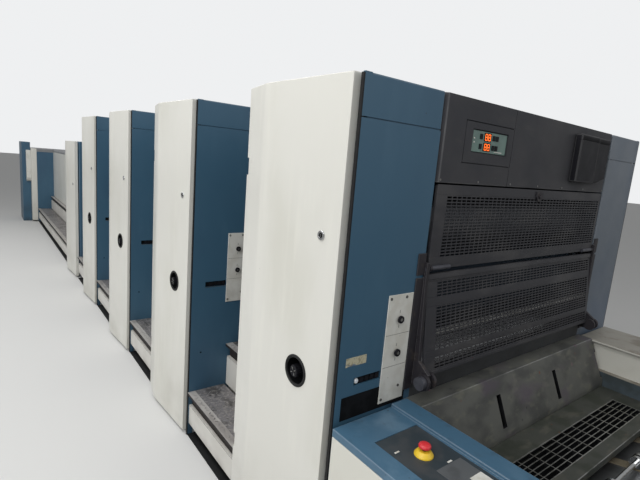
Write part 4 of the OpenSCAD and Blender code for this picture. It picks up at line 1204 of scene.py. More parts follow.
@dataclass
class Knobs:
    """Turn knobs behind the hand holes, the number plates and their register knobs."""

    row: Row
    turn_r: float = 0.023
    turn_core: float = 0.0205
    register_r: float = 0.014
    plate_t: float = 0.004
    plate_w: float = 0.127
    plate_low: float = 0.804
    plate_high: float = 1.220
    plate_mid: float = -0.8455
    heights: Span = (0.998, 1.126)
    divisions: Span = (1.068, 0.944)
    screw_places: tuple[Span, ...] = (
        (-0.0525, 1.207), (0.0275, 1.207), (-0.0525, 0.820), (0.0325, 0.858))
    ribs: int = 18

    def build(self) -> None:
        """Builds the knobs and the plates."""
        for i in range(UNITS):
            self.turn_knob(f"turn_knob_{i + 1}")
        self.hole_shades()
        self.register_knob("upper_register_knob", self.heights[1])
        self.register_knob("lower_register_knob", self.heights[0])
        self.plates()

    def ribbed(self, name: str, radius: float, core: float, length: float, place: Matrix,
               finish: Finish) -> Piece:
        """Lays grip ribs round a knob.

        Args:
            name: Name of the ribs.
            radius: Outer radius.
            core: Radius of the knob's core.
            length: Length of a rib.
            place: Turns the ring from Z to the knob's axis and place.
            finish: The knob's finish.

        Returns:
            The ribs.
        """
        width = math.tau * radius / self.ribs * 0.45
        rib = Shape("rib").box((-(radius - core), -width / 2, 0.0), (0.0, width / 2, length))
        ribs = Tools.ring.run(plain(name + "_ribs", rib), {"Count": self.ribs, "Radius": radius,
                                                          "Finish": finish.material()})
        ribs.data.transform(place)
        return ribs

    def turn_knob(self, node: str) -> None:
        """Builds one turn knob with its ribs, a dark face with pale bars painted as glints, and its shaft.

        Args:
            node: The CAD node.
        """
        low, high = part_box(node)
        x, z = (low.x + high.x) / 2, (low.z + high.z) / 2
        front, length = low.y, 0.026
        shape = Shape(node + "_grip", Paint.BLACK, Paint.ZINC)
        core = self.turn_core
        shape.turned((x, front, z), (0, 1, 0),
                     [(0.0, 0.003), (0.013, 0.003), (0.0145, 0.0), (core - 0.002, 0.0), (core, 0.002),
                      (core, length), (0.0, length)])
        shape.rod((x, front + length - 0.001, z), Axis.Y, high.y - front - length + 0.001, 0.010)
        shape.turned((x, front, z), (0, 1, 0), [(0.0, 0.0012), (0.005, 0.0012), (0.006, 0.004)], 0)
        # Four pale zinc bars in an X on the dark face are painted glints.
        for k in range(4):
            angle = math.tau * k / 4 + 0.5
            out = Vector((math.cos(angle), 0.0, math.sin(angle)))
            aside = Vector((-out.z, 0.0, out.x)) * 0.0014
            middle = Vector((x, front - 0.0006, z))
            shape.prism([middle + out * r + aside * way for r, way in (
                (0.006, -1), (0.0165, -1), (0.0165, 1), (0.006, 1))], (0, 0.004, 0), 1)
        place = Matrix.Translation((x, front + 0.003, z)) @ Vector((0, 1, 0)).to_track_quat(
            "Z", "Y").to_matrix().to_4x4()
        ribs = self.ribbed(node, self.turn_r, core - 0.001, length - 0.006, place, Paint.BLACK)
        mount(joined(node + "_grip", [shape.made(), ribs]), node, "knob_black", node)

    def hole_shades(self) -> None:
        """Builds near-black discs on the housings behind the hand holes, painted shade seen through the
        holes.
        """
        # Near-black discs fill the view through each hand hole as painted shade.
        shape = Shape("hand_hole_shade_discs", Paint.BLACK_AND_SHADE)
        for i in range(UNITS):
            low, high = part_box(f"turn_knob_{i + 1}")
            at = ((low.x + high.x) / 2, -self.row.side, (low.z + high.z) / 2)
            shape.turned(at, (0, -1, 0), [(0.012, 0.0), (0.012, 0.0026), (0.058, 0.0026),
                                          (0.058, 0.0)], 0, 48, True)
        mount(shape.made(), FIXED, "knob_black")

    def knob_form(self, shape: Shape, face: float, z: float) -> None:
        """Adds one register knob.

        Args:
            shape: Shape that collects it.
            face: Front face of its unit.
            z: Its height.
        """
        r = self.register_r
        start = face + self.plate_t + 0.005
        shape.rod((face - 0.016, self.plate_mid, z), Axis.X, 0.03, 0.005)
        shape.turned((start, self.plate_mid, z), (1, 0, 0),
                     [(0.0, 0.0), (r, 0.0), (r, 0.0065), (r - 0.0015, 0.008), (r - 0.0045, 0.008),
                      (r - 0.005, 0.0062), (0.0, 0.0062)])
        shape.turned((start, self.plate_mid, z), (1, 0, 0),
                     [(0.0062, 0.006), (0.0062, 0.0078), (0.0, 0.0078)], 2, 20)

    def register_knob(self, node: str, z: float) -> None:
        """Builds one register knob of the first unit.

        Args:
            node: The CAD node.
            z: Its height.
        """
        shape = Shape(node + "_grip", Paint.BLACK, Paint.SIGN, Paint.ZINC)
        self.knob_form(shape, self.row.face, z)
        mount(shape.made(), node, "knob_black", node)

    def plates(self) -> None:
        """Builds the number plates with their screws, lines and the rear units' knobs."""
        plates = Shape("number_plates", Paint.SIGN)
        marks = Shape("number_plate_marks", Paint.INK_LINE)
        knobs = Shape("rear_register_knobs", Paint.BLACK, Paint.SIGN, Paint.ZINC)
        w, mid = self.plate_w / 2, self.plate_mid
        points = []
        for i, face in enumerate(self.row.faces):
            front = face + self.plate_t
            plates.box((face, mid - w, self.plate_low), (front, mid + w, self.plate_high))
            for z in self.divisions:
                marks.box((front - 0.001, mid - w + 0.002, z),
                          (front + 0.0002, mid + w - 0.002, z + 0.0012))
            for z in self.heights:
                for side in (-1, 1):
                    at = z + side * 0.028
                    marks.box((front - 0.001, mid - 0.0009, at - 0.006),
                              (front + 0.0002, mid + 0.0009, at + 0.006))
                if i:
                    self.knob_form(knobs, face, z)
            points += [(front, mid + y, z) for y, z in self.screw_places]
        mount(plates.made(Round(0.0012, 2)), FIXED, "plate_white", "register_plates")
        mount(marks.made(), FIXED, "plate_white")
        mount(knobs.made(), FIXED, "knob_black")
        mount(screws("number_plate_screws", points, Axis.X, True, 0.0052, Paint.BLACK), FIXED,
              "hinge_steel")


@dataclass
class Housings:
    """Side housings with their button strips, the worn label and the drive side's covers."""

    row: Row
    strip_y: Span = (-1.039, -0.909)
    strip_z: Span = (0.907, 0.938)
    strip_d: float = 0.012
    hole: Span = (-1.052, 0.511)
    seal_x: Span = (-0.036, -0.010)
    seal_y: Span = (1.0935, 1.0985)
    jamb_t: float = 0.010
    jamb: float = 1.1170
    edge: float = 1.1225
    cap_seam: Span = (1.8100, 1.8140)
    label_y: Span = (-1.084, -0.990)
    label_z: Span = (0.986, 1.018)
    desk_shade_y: Span = (-1.090, -0.770)
    desk_shade_z: Span = (0.788, 0.874)

    def build(self) -> None:
        """Builds the housings of both sides."""
        shells(("operator_housings", "housing_blue", Paint.BLUE, 0.006, 3, 0.12),
               ("drive_housings", "housing_blue", Paint.SHEEN_BLUE, 0.006, 3, 0.12))
        Shell("drive_covers", "door_white", Paint.DOOR, Round(0.004, 3, 0.03), worn=0.0).build()
        shells(("unit_frames", "frame_dark", Paint.FRAME, 0.003, 2, 0.1),
               ("rear_covers", "cover_charcoal", Paint.CHARCOAL, 0.003, 2, 0.2))
        self.seals()
        self.jambs()
        self.strips()
        self.label()

    def seals(self) -> None:
        """Builds the rubber strips that the doors and the drive side's covers close on; near-black, they are
        also painted shade in the gap beside each door.
        """
        # The near-black strips are real seals and also painted shade in the gap beside each door.
        shape = Shape("door_seals_and_gap_shade", Paint.RUBBER)
        low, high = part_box("unit_1_door")
        (x0, x1), (start, proud) = self.seal_x, self.seal_y
        for face in self.row.faces:
            for side in (-1, 1):
                y0, y1 = sorted((side * start, side * proud))
                shape.box((face + x0, y0, low.z + 0.01), (face + x1, y1, high.z - 0.01))
        mount(shape.made(Round(0.001, 2)), FIXED, "knob_black")

    def jambs(self) -> None:
        """Builds the narrow edges with rubber strips that stand beside the doors' lock edges; the near-black
        strips are also painted shade in the gap there.
        """
        below, above = self.cap_seam
        for node, finish, side in (("operator_housings", Paint.BLUE, -1),
                                   ("drive_housings", Paint.SHEEN_BLUE, 1)):
            shape = Shape(f"{node}_jambs", finish, Paint.RUBBER)
            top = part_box(node)[1].z
            for face in self.row.faces:
                inner, outer = face - self.jamb_t, face + 0.0003
                for z0, z1 in ((0.0, below), (above, top)):
                    y0, y1 = sorted((side * (self.seal_y[0] - 0.0055), side * self.jamb))
                    shape.box((inner, y0, z0), (outer, y1, z1))
                # The rubber strip beside each lock edge is also painted shade in the gap there.
                y0, y1 = sorted((side * self.jamb, side * self.edge))
                shape.box((inner - 0.002, y0, 0.0), (outer, y1, top - 0.004), 1)
            mount(shape.made(), FIXED, "housing_blue")

    def strips(self) -> None:
        """Builds the recessed strips with square buttons, the first one also with a round lamp."""
        shape = Shape("button_strips", Paint.BLACK_AND_SHADE, Paint.LAMP, Paint.BLACK, Paint.ZINC)
        (y0, y1), (z0, z1) = self.strip_y, self.strip_z
        middle = (z0 + z1) / 2
        for face in self.row.faces:
            floor = face - self.strip_d
            # On the rear units a pale zinc lip under the strip is a painted highlight on its lower edge, and
            # a near-black disc is a painted hole.
            if face != self.row.face:
                shape.box((face - 0.001, y0, z0 - 0.0025), (face + 0.0006, y1, z0), 3)
                shape.rod((face - 0.002, *self.hole), Axis.X, 0.0024, 0.0055, 0, 16)
            # The strip's near-black floor is painted shade of its recess.
            shape.box((floor, y0 + 0.0005, z0 + 0.0005), (floor + 0.003, y1 - 0.0005, z1 - 0.0005))
            if face == self.row.face:
                shape.turned((floor + 0.003, y0 + 0.014, middle), (1, 0, 0),
                             [(0.010, 0.0), (0.010, 0.004), (0.008, 0.0075), (0.0, 0.009)], 1, 24)
            for k in range(4):
                y = y0 + 0.030 + k * 0.0245
                shape.box((floor + 0.002, y, z0 + 0.005), (floor + 0.009, y + 0.0195, z1 - 0.005), 2)
        mount(shape.made(Round(0.0012, 2)), FIXED, "panel_black")

    def label(self) -> None:
        """Builds the worn label, and a near-black plate above the desk that is painted shade."""
        face = self.row.face
        shape = Shape("worn_label_patch", Paint.LABEL)
        shape.box((face - 0.001, self.label_y[0], self.label_z[0]),
                  (face + 0.0006, self.label_y[1], self.label_z[1]))
        mount(shape.made(), FIXED, "plate_white")
        # A near-black plate above the desk is painted shade.
        shape = Shape("desk_painted_shade", Paint.BLACK_AND_SHADE)
        shape.box((face - 0.001, self.desk_shade_y[0], self.desk_shade_z[0]),
                  (face + 0.0015, self.desk_shade_y[1], self.desk_shade_z[1]))
        mount(shape.made(), FIXED, "panel_black")


@dataclass
class Fronts:
    """Charcoal front covers with display, hairlines, screws and the ink ducts' drive boxes."""

    row: Row
    hatch_y: Span = (-0.590, -0.262)
    hatch_z: Span = (1.706, 1.863)
    seam_y: float = -0.262
    hair: float = 0.004
    hair_d: float = 0.006
    digit_y: float = -0.440
    digit_rows: Span = (1.8145, 1.7765)
    screw_step: float = 0.24

    def build(self) -> None:
        """Builds the covers, displays and drive boxes."""
        low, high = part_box("front_covers")
        grooves = [g for face in self.row.faces for g in self.hairlines(face, low.z, high.z)]
        Shell("front_covers", "cover_charcoal", Paint.CHARCOAL, Round(0.0035, 3), worn=0.25,
              grooves=grooves).build()
        Shell("ink_drive_boxes", "box_black", Paint.BLACK, Round(0.007, 3), worn=0.1,
              grooves=self.box_grooves()).build()
        Shell("display_panels", "display_green", Paint.SCREEN, Round(0.001, 2), worn=0.0).build()
        self.display()
        points = []
        count = round(2 * self.row.core / self.screw_step)
        for face in self.row.faces:
            for k in range(count + 1):
                y = -self.row.core + 0.03 + k * (2 * self.row.core - 0.06) / count
                points.append((face + 0.0005, y, low.z + 0.011))
        mount(screws("front_cover_screws", points, Axis.X, True, 0.0042, Paint.ZINC, 0.002), FIXED,
              "hinge_steel")

    def hairlines(self, face: float, low: float, high: float) -> list[Box]:
        """Gives the grooves round the display hatch and beside it on one cover.

        Args:
            face: Front face of the unit.
            low: Lower edge of the cover.
            high: Its upper edge.

        Returns:
            The boxes to cut out.
        """
        x0, x1, h = face - self.hair_d, face + 0.01, self.hair
        (y0, y1), (z0, z1) = self.hatch_y, self.hatch_z
        return [
            ((x0, self.seam_y, low - 0.01), (x1, self.seam_y + h, high + 0.01)),
            ((x0, y0, z0), (x1, y1 - h, z0 + h)),
            ((x0, y0, z1), (x1, y1 - h, z1 + h)),
            ((x0, y0 - h, z0), (x1, y0, z1 + h)),
        ]

    def box_grooves(self) -> list[Box]:
        """Gives the fine lines across the lids of the drive boxes.

        Returns:
            The boxes to cut out.
        """
        low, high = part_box("ink_drive_boxes")
        lid = high.z - 0.028
        return [((face + 0.02, low.y - 0.01, lid), (face + 0.05, high.y + 0.01, lid + 0.002))
                for face in self.row.faces]

    def display(self) -> None:
        """Builds the lit digits, their windows and the small keys."""
        shape = Shape("display_details", Paint.BLACK_AND_SHADE, Paint.DIGIT, Paint.BLACK, Paint.SIGN)
        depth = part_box("display_panels")[1].x - self.row.face
        for face in self.row.faces:
            x = face + depth
            for z in self.digit_rows:
                y = self.digit_y
                shape.box((x - 0.001, y - 0.024, z - 0.0165), (x + 0.0012, y + 0.024, z + 0.0165))
                for off in (-0.0105, 0.0105):
                    self.digit(shape, x + 0.0012, y + off, z)
                for off in (-0.044, 0.043, 0.066):
                    shape.box((x - 0.001, y + off - 0.0085, z - 0.010),
                              (x + 0.0028, y + off + 0.0085, z + 0.010), 2)
            shape.box((x - 0.001, -0.385, 1.760), (x + 0.0006, -0.330, 1.7635), 3)
            for z in (1.805, 1.790):
                shape.rod((x - 0.001, -0.528, z), Axis.X, 0.0025, 0.003, 3, 12)
        mount(shape.made(Round(0.0006, 1)), FIXED, "display_green")

    def digit(self, shape: Shape, x: float, y: float, z: float) -> None:
        """Adds one lit digit of seven bars.

        Args:
            shape: The display's shape.
            x: Face of its window.
            y: Its middle across the press.
            z: Its middle height.
        """
        w, h, t = 0.0065, 0.0115, 0.0016
        for dz in (-h, 0.0, h):
            shape.box((x - 0.0005, y - w, z + dz - t), (x + 0.0004, y + w, z + dz + t), 1)
        for dy in (-w, w):
            shape.box((x - 0.0005, y + dy - t, z - h), (x + 0.0004, y + dy + t, z + h), 1)


@dataclass
class Guards:
    """Slotted guards with latch, pivots, the brackets that carry them and a roller painted pale as a glint.
    """

    row: Row
    width: float = 1.428
    depth: float = 0.012
    near_rim: float = 0.064
    far_rim: float = 0.020
    sheet_t: float = 0.004
    slot_pitch: float = 0.0125
    slot_h: float = 0.0074
    bay: float = 0.0305
    rib: float = 0.0045
    upper_z: float = 1.298
    upper_h: float = 0.323
    upper_fields: tuple[Span, ...] = ((0.047, 0.285),)
    upper_pivot: Span = (0.002, 1.304)
    lower_z: float = 0.882
    lower_h: float = 0.4025
    lower_fields: tuple[Span, ...] = ((0.022, 0.072), (0.096, 0.272), (0.309, 0.371))
    foot_x: float = 0.045
    lower_pivot: Span = (0.065, 0.878)
    lean: float = math.atan(45 / 400)
    hub_r: float = 0.032
    pin_r: float = 0.008
    cap_y: Span = (0.747, 0.021)
    cap_r: float = 0.025
    roller: tuple[float, float, float] = (0.000, 1.035, 0.012)

    def build(self) -> None:
        """Builds the near unit's two guards, the rear units' and the brackets."""
        upper, lower = self.upper("upper_guard_slats"), self.lower("lower_guard_slats")
        rear = Shape("rear_guard_slats", *self.finishes())
        for centre in self.row.centres[1:]:
            for template in (upper, lower):
                rear.copy_of(template.data, Matrix.Translation((centre - self.row.centres[0], 0, 0)))
        mount(rear.made(), FIXED, "guard_charcoal", "rear_unit_guards")
        mount(upper, "upper_guard", "guard_charcoal", "upper_guard")
        mount(lower, "lower_guard", "guard_charcoal", "lower_guard")
        Shell("guard_brackets", "bracket_dark", Paint.BRACKET, Round(0.0015, 2), worn=0.06).build()
        self.caps()
        # The roller is painted pale to show as a glint through the slots.
        shape = Shape("guard_rollers", Paint.GLINT_ROLLER)
        x, z, radius = self.roller
        for face in self.row.faces:
            shape.rod((face + x, -self.row.core, z), Axis.Y, 2 * self.row.core, radius, 0, 24)
        mount(shape.made(), FIXED, "cylinder_steel")

    def caps(self) -> None:
        """Builds the round caps outside the brackets' lower hubs."""
        shape = Shape("guard_pivot_caps", Paint.PIVOT)
        dx, z = self.lower_pivot
        (start, length), radius = self.cap_y, self.cap_r
        for face in self.row.faces:
            for side in (-1, 1):
                shape.rod((face + dx, side * start, z), Axis.Y, side * length, radius, 0, 32)
        mount(shape.made(Round(0.0025, 3)), FIXED, "bracket_dark")

    @staticmethod
    def finishes() -> tuple[Finish, ...]:
        """Returns the finishes of a guard, which its tints count."""
        return Paint.GUARD, Paint.BRACKET, Paint.PIVOT

    def sheet(self, shape: Shape, name: str, height: float,
              fields: Sequence[Span]) -> list[Piece]:
        """Adds a sheet's plain bands to a shape and returns its slot fields.

        Args:
            shape: Shape that collects the solid parts, in the sheet's own frame.
            name: Start of the fields' names.
            height: Height of the sheet.
            fields: Lower and upper edge of each slot field.

        Returns:
            The slot fields as objects.
        """
        half = self.width / 2
        low, high = -half + self.near_rim, half - self.far_rim
        edges = [0.0, *(edge for pair in fields for edge in pair), height]
        for z0, z1 in zip(edges[::2], edges[1::2]):
            shape.box((-self.sheet_t, -half, z0), (0.0, half, z1))
        for z0, z1 in fields:
            shape.box((-self.sheet_t, -half, z0), (0.0, low, z1))
            shape.box((-self.sheet_t, high, z0), (0.0, half, z1))
        for y in (-half, half - 0.003):
            shape.box((-self.depth, y, 0.0), (-self.sheet_t, y + 0.003, height))
        for z in (0.0, height - 0.003):
            shape.box((-self.depth, -half, z), (-self.sheet_t, half, z + 0.003))
        return [Tools.slotted.run(link(f"{name}_{i}", bpy.data.meshes.new(name)), {
            "Start": (0.0, low, z0), "Width": high - low, "Height": z1 - z0, "Depth": self.sheet_t,
            "Slot Pitch": self.slot_pitch, "Slot Height": self.slot_h, "Bay": self.bay,
            "Rib Width": self.rib, "Finish": Paint.GUARD.material()}) for i, (z0, z1) in enumerate(fields)]

    def pivots(self, shape: Shape, at: Span, radius: float) -> None:
        """Adds the hubs and pins at both ends of a guard.

        Args:
            shape: The guard's shape.
            at: Place of the pivot in front of the unit's face, and its height.
            radius: Radius of the hubs.
        """
        x, z = self.row.face + at[0], at[1]
        end = self.width / 2
        for side in (-1, 1):
            shape.rod((x, side * (end - 0.003), z), Axis.Y, -side * 0.012, radius, 1, 40)
            shape.rod((x, side * self.row.core, z), Axis.Y, -side * (self.row.core - end + 0.009),
                      self.pin_r, 2, 24)

    def upper(self, name: str) -> Piece:
        """Builds the near unit's upper guard.

        Args:
            name: Name of the piece.

        Returns:
            The finished guard.
        """
        shape = Shape(name, *self.finishes())
        fields = self.sheet(shape, name, self.upper_h, self.upper_fields)
        place = Matrix.Translation((self.row.face, 0, self.upper_z))
        bmesh.ops.transform(shape.body, matrix=place, verts=shape.body.verts)
        for slots in fields:
            slots.data.transform(place)
        self.pivots(shape, self.upper_pivot, 0.011)
        x, z = self.row.face + self.upper_pivot[0], self.upper_pivot[1]
        for side in (-1, 1):
            shape.rod((x, side * (self.width / 2 - 0.015), z), Axis.Y, -side * 0.11, 0.0095, 2, 24)
        self.latch(shape, self.row.face, 0.028, self.upper_z + self.upper_h)
        return joined(name, [shape.made(Round(0.0012, 2)), *fields])

    def latch(self, shape: Shape, face: float, y: float, top: float) -> None:
        """Adds the latch plate at the top of the upper guard.

        Args:
            shape: The guard's shape.
            face: Face of the sheet.
            y: Middle of the latch.
            top: Upper edge of the guard.
        """
        outline = [(face, y - 0.030, top - 0.008), (face, y - 0.030, top - 0.032),
                   (face, y - 0.014, top - 0.052), (face, y + 0.014, top - 0.052),
                   (face, y + 0.030, top - 0.032), (face, y + 0.030, top - 0.008)]
        shape.prism(outline, (0.006, 0, 0), 1)
        shape.rod((face + 0.006, y, top - 0.030), Axis.X, 0.005, 0.010, 1, 24)

    def lower(self, name: str) -> Piece:
        """Builds the near unit's lower guard, leaning back from its hubs.

        Args:
            name: Name of the piece.

        Returns:
            The finished guard.
        """
        place = Matrix.Translation((self.row.face + self.foot_x, 0, self.lower_z)) @ Matrix.Rotation(
            -self.lean, 4, "Y")
        shape = Shape(name, *self.finishes())
        fields = self.sheet(shape, name, self.lower_h, self.lower_fields)
        end = self.width / 2
        shape.box((-0.002, -end + 0.004, self.lower_h - 0.022),
                  (0.005, end - 0.004, self.lower_h - 0.002))
        shape.box((-0.002, -end + 0.004, 0.002), (0.004, end - 0.004, 0.016))
        bmesh.ops.transform(shape.body, matrix=place, verts=shape.body.verts)
        for slots in fields:
            slots.data.transform(place)
        self.pivots(shape, self.lower_pivot, self.hub_r)
        px, pz = self.row.face + self.foot_x, self.lower_pivot[1]
        drop = self.lower_z - pz
        front = drop * math.tan(self.lean) + 0.004
        reach = drop + 0.021
        shift = -reach * math.tan(self.lean)
        for side in (-1, 1):
            y = side * (end - 0.003)
            outline = [(px + front - 0.020, y, pz), (px + front, y, pz),
                       (px + front + shift, y, pz + reach), (px + front - 0.020 + shift, y, pz + reach)]
            shape.prism(outline, (0, -side * 0.012, 0), 1)
        return joined(name, [shape.made(Round(0.0012, 2)), *fields])


class Cylinders:
    """Printing cylinders seen through the guards."""

    def build(self) -> None:
        """Builds the cylinders of all units."""
        shells(("impression_cylinders", "cylinder_steel", Paint.STEEL, 0.002, 2, 0.1),
               ("blanket_cylinders", "blanket_blue", Paint.BLANKET, 0.002, 2, 0.1),
               ("plate_cylinders", "plate_metal", Paint.PLATE, 0.002, 2, 0.1))


@dataclass
class Steps:
    """Treads and platforms between the units and along the delivery."""

    row: Row
    stud_pitch: float = 0.030
    stud_l: float = 0.022
    stud_w: float = 0.006
    stud_h: float = 0.0014
    margin: float = 0.016
    nose: float = 0.045
    band: float = 0.065
    toe: float = 0.075
    toe_set: float = 0.0595
    toe_shadow_clear: float = 0.037
    tread_clear: float = 0.036
    skin: float = 0.0006
    lower_top: float = 0.273
    lower_edges: Span = (-1.124, -0.894)
    walk_top: float = 0.535
    walk_edges: Span = (-0.894, 0.894)

    def build(self) -> None:
        """Builds the steps, their studs and their worn noses."""
        self.platforms("lower_steps", self.lower_top, self.lower_edges)
        self.platforms("walkways", self.walk_top, self.walk_edges)
        self.toe_shadows()

    def toe_shadows(self) -> None:
        """Builds near-black plates on the floor inside the lower steps' toe recesses, a painted shadow of
        the recesses.
        """
        # Near-black plates on the floor inside the toe recesses are painted shadow.
        shape = Shape("toe_recess_painted_shadow", Paint.RUBBER)
        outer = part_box("lower_steps")[1].y
        for rear, front in self.gaps():
            for side in (-1, 1):
                y0, y1 = sorted((side * (outer - 0.004), side * (outer - self.toe_set)))
                shape.box((rear + 0.001, y0, 0.0), (front - self.toe_shadow_clear, y1, 0.004))
        mount(shape.made(Round(0.001, 2)), FIXED, "step_metal")

    def gaps(self) -> list[Span]:
        """Finds where the platforms lie along the press.

        Returns:
            The rear and front end of each, the one along the delivery last.
        """
        backs = [centre - self.row.half for centre in self.row.centres]
        fronts = [*self.row.faces[1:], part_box("delivery_head")[1].x]
        low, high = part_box("extended_delivery")
        return [*zip(fronts, backs), (low.x, high.x)]

    def platforms(self, node: str, top: float, width: Span) -> None:
        """Builds one level of platforms.

        Args:
            node: The CAD node.
            top: Height of its treads.
            width: Outer and inner edge of the operator side's treads.
        """
        under = top - 0.015
        # Faces in the toe recess are near-black, partly a dark kick plate and partly painted shade; faces
        # just under the nose get a dark band, partly the nose's dark edge and partly painted shade.
        Shell(node, "step_metal", Paint.RISER, Round(0.002, 2), worn=0.2, zones=[
            Zone(0.0, self.toe, Paint.BLACK_AND_SHADE), Zone(under - self.band, top, Paint.SHADE_BAND)]).build()
        studs, noses = [], Shape(node + "_noses", Paint.NOSING, Paint.TREAD)
        clear = self.tread_clear if node == "lower_steps" else 0.0
        for i, (rear, front) in enumerate(self.gaps()):
            outer, inner = width
            if i == UNITS and node == "walkways":
                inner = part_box("extended_delivery")[0].y
            both_sides = [width] if outer * inner < 0 else [(outer, inner), (-inner, -outer)]
            for k, across in enumerate(both_sides):
                self.dress(noses, studs, f"{node}_{i}_{k}", (rear, front - clear), across, top)
        mount(noses.made(), FIXED, "step_metal")
        mount(joined(node + "_studs", studs), FIXED, "step_metal")

    def dress(self, noses: Shape, studs: list, name: str, along: Span,
              across: Span, top: float) -> None:
        """Adds the tread skin, its noses and studs to one platform.

        Args:
            noses: Shape that collects the noses and skins.
            studs: List that collects the studs.
            name: Name of this platform's studs.
            along: Its ends along the press.
            across: Its edges across the press.
            top: Height of its tread.
        """
        (rear, front), (low, high), skin = along, across, self.skin
        noses.box((rear + 0.0005, low + 0.0005, top - 0.002),
                  (front - 0.0005, high - 0.0005, top + skin), 1)
        for edge in (low, high) if low < 0 < high else (max(across, key=abs),):
            inward = 1 if edge < 0 else -1
            a, b = sorted((edge + inward * 0.0015, edge + inward * self.nose))
            noses.box((rear + 0.001, a, top - 0.002), (front - 0.001, b, top + skin + 0.0004), 0)
        pitch = self.stud_pitch
        columns = int((front - rear - 2 * self.margin) / pitch)
        columns -= 1 - columns % 2
        rows = int((high - low - 2 * self.margin) / pitch) + 1
        start = ((rear + front) / 2 - (columns - 1) / 2 * pitch,
                 (low + high) / 2 - (rows - 1) / 2 * pitch, top + skin)
        stud = Shape("stud")
        stud.prism(self.lozenge(self.stud_l / 2, self.stud_w / 2), (0, 0, self.stud_h))
        bmesh.ops.rotate(stud.body, verts=stud.body.verts,
                         matrix=Matrix.Rotation(math.radians(45), 3, "Z"))
        studs.append(laid(name, stud, Paint.STUD, start, (columns, (pitch, 0, 0)),
                          (rows, (0, pitch, 0)), math.radians(90)))

    @staticmethod
    def lozenge(a: float, b: float) -> list[Vec]:
        """Returns the outline of one stud from half its length and half its width."""
        flat = a * 0.6
        return [(-a, 0, 0), (-flat, -b, 0), (flat, -b, 0), (a, 0, 0), (flat, b, 0), (-flat, b, 0)]


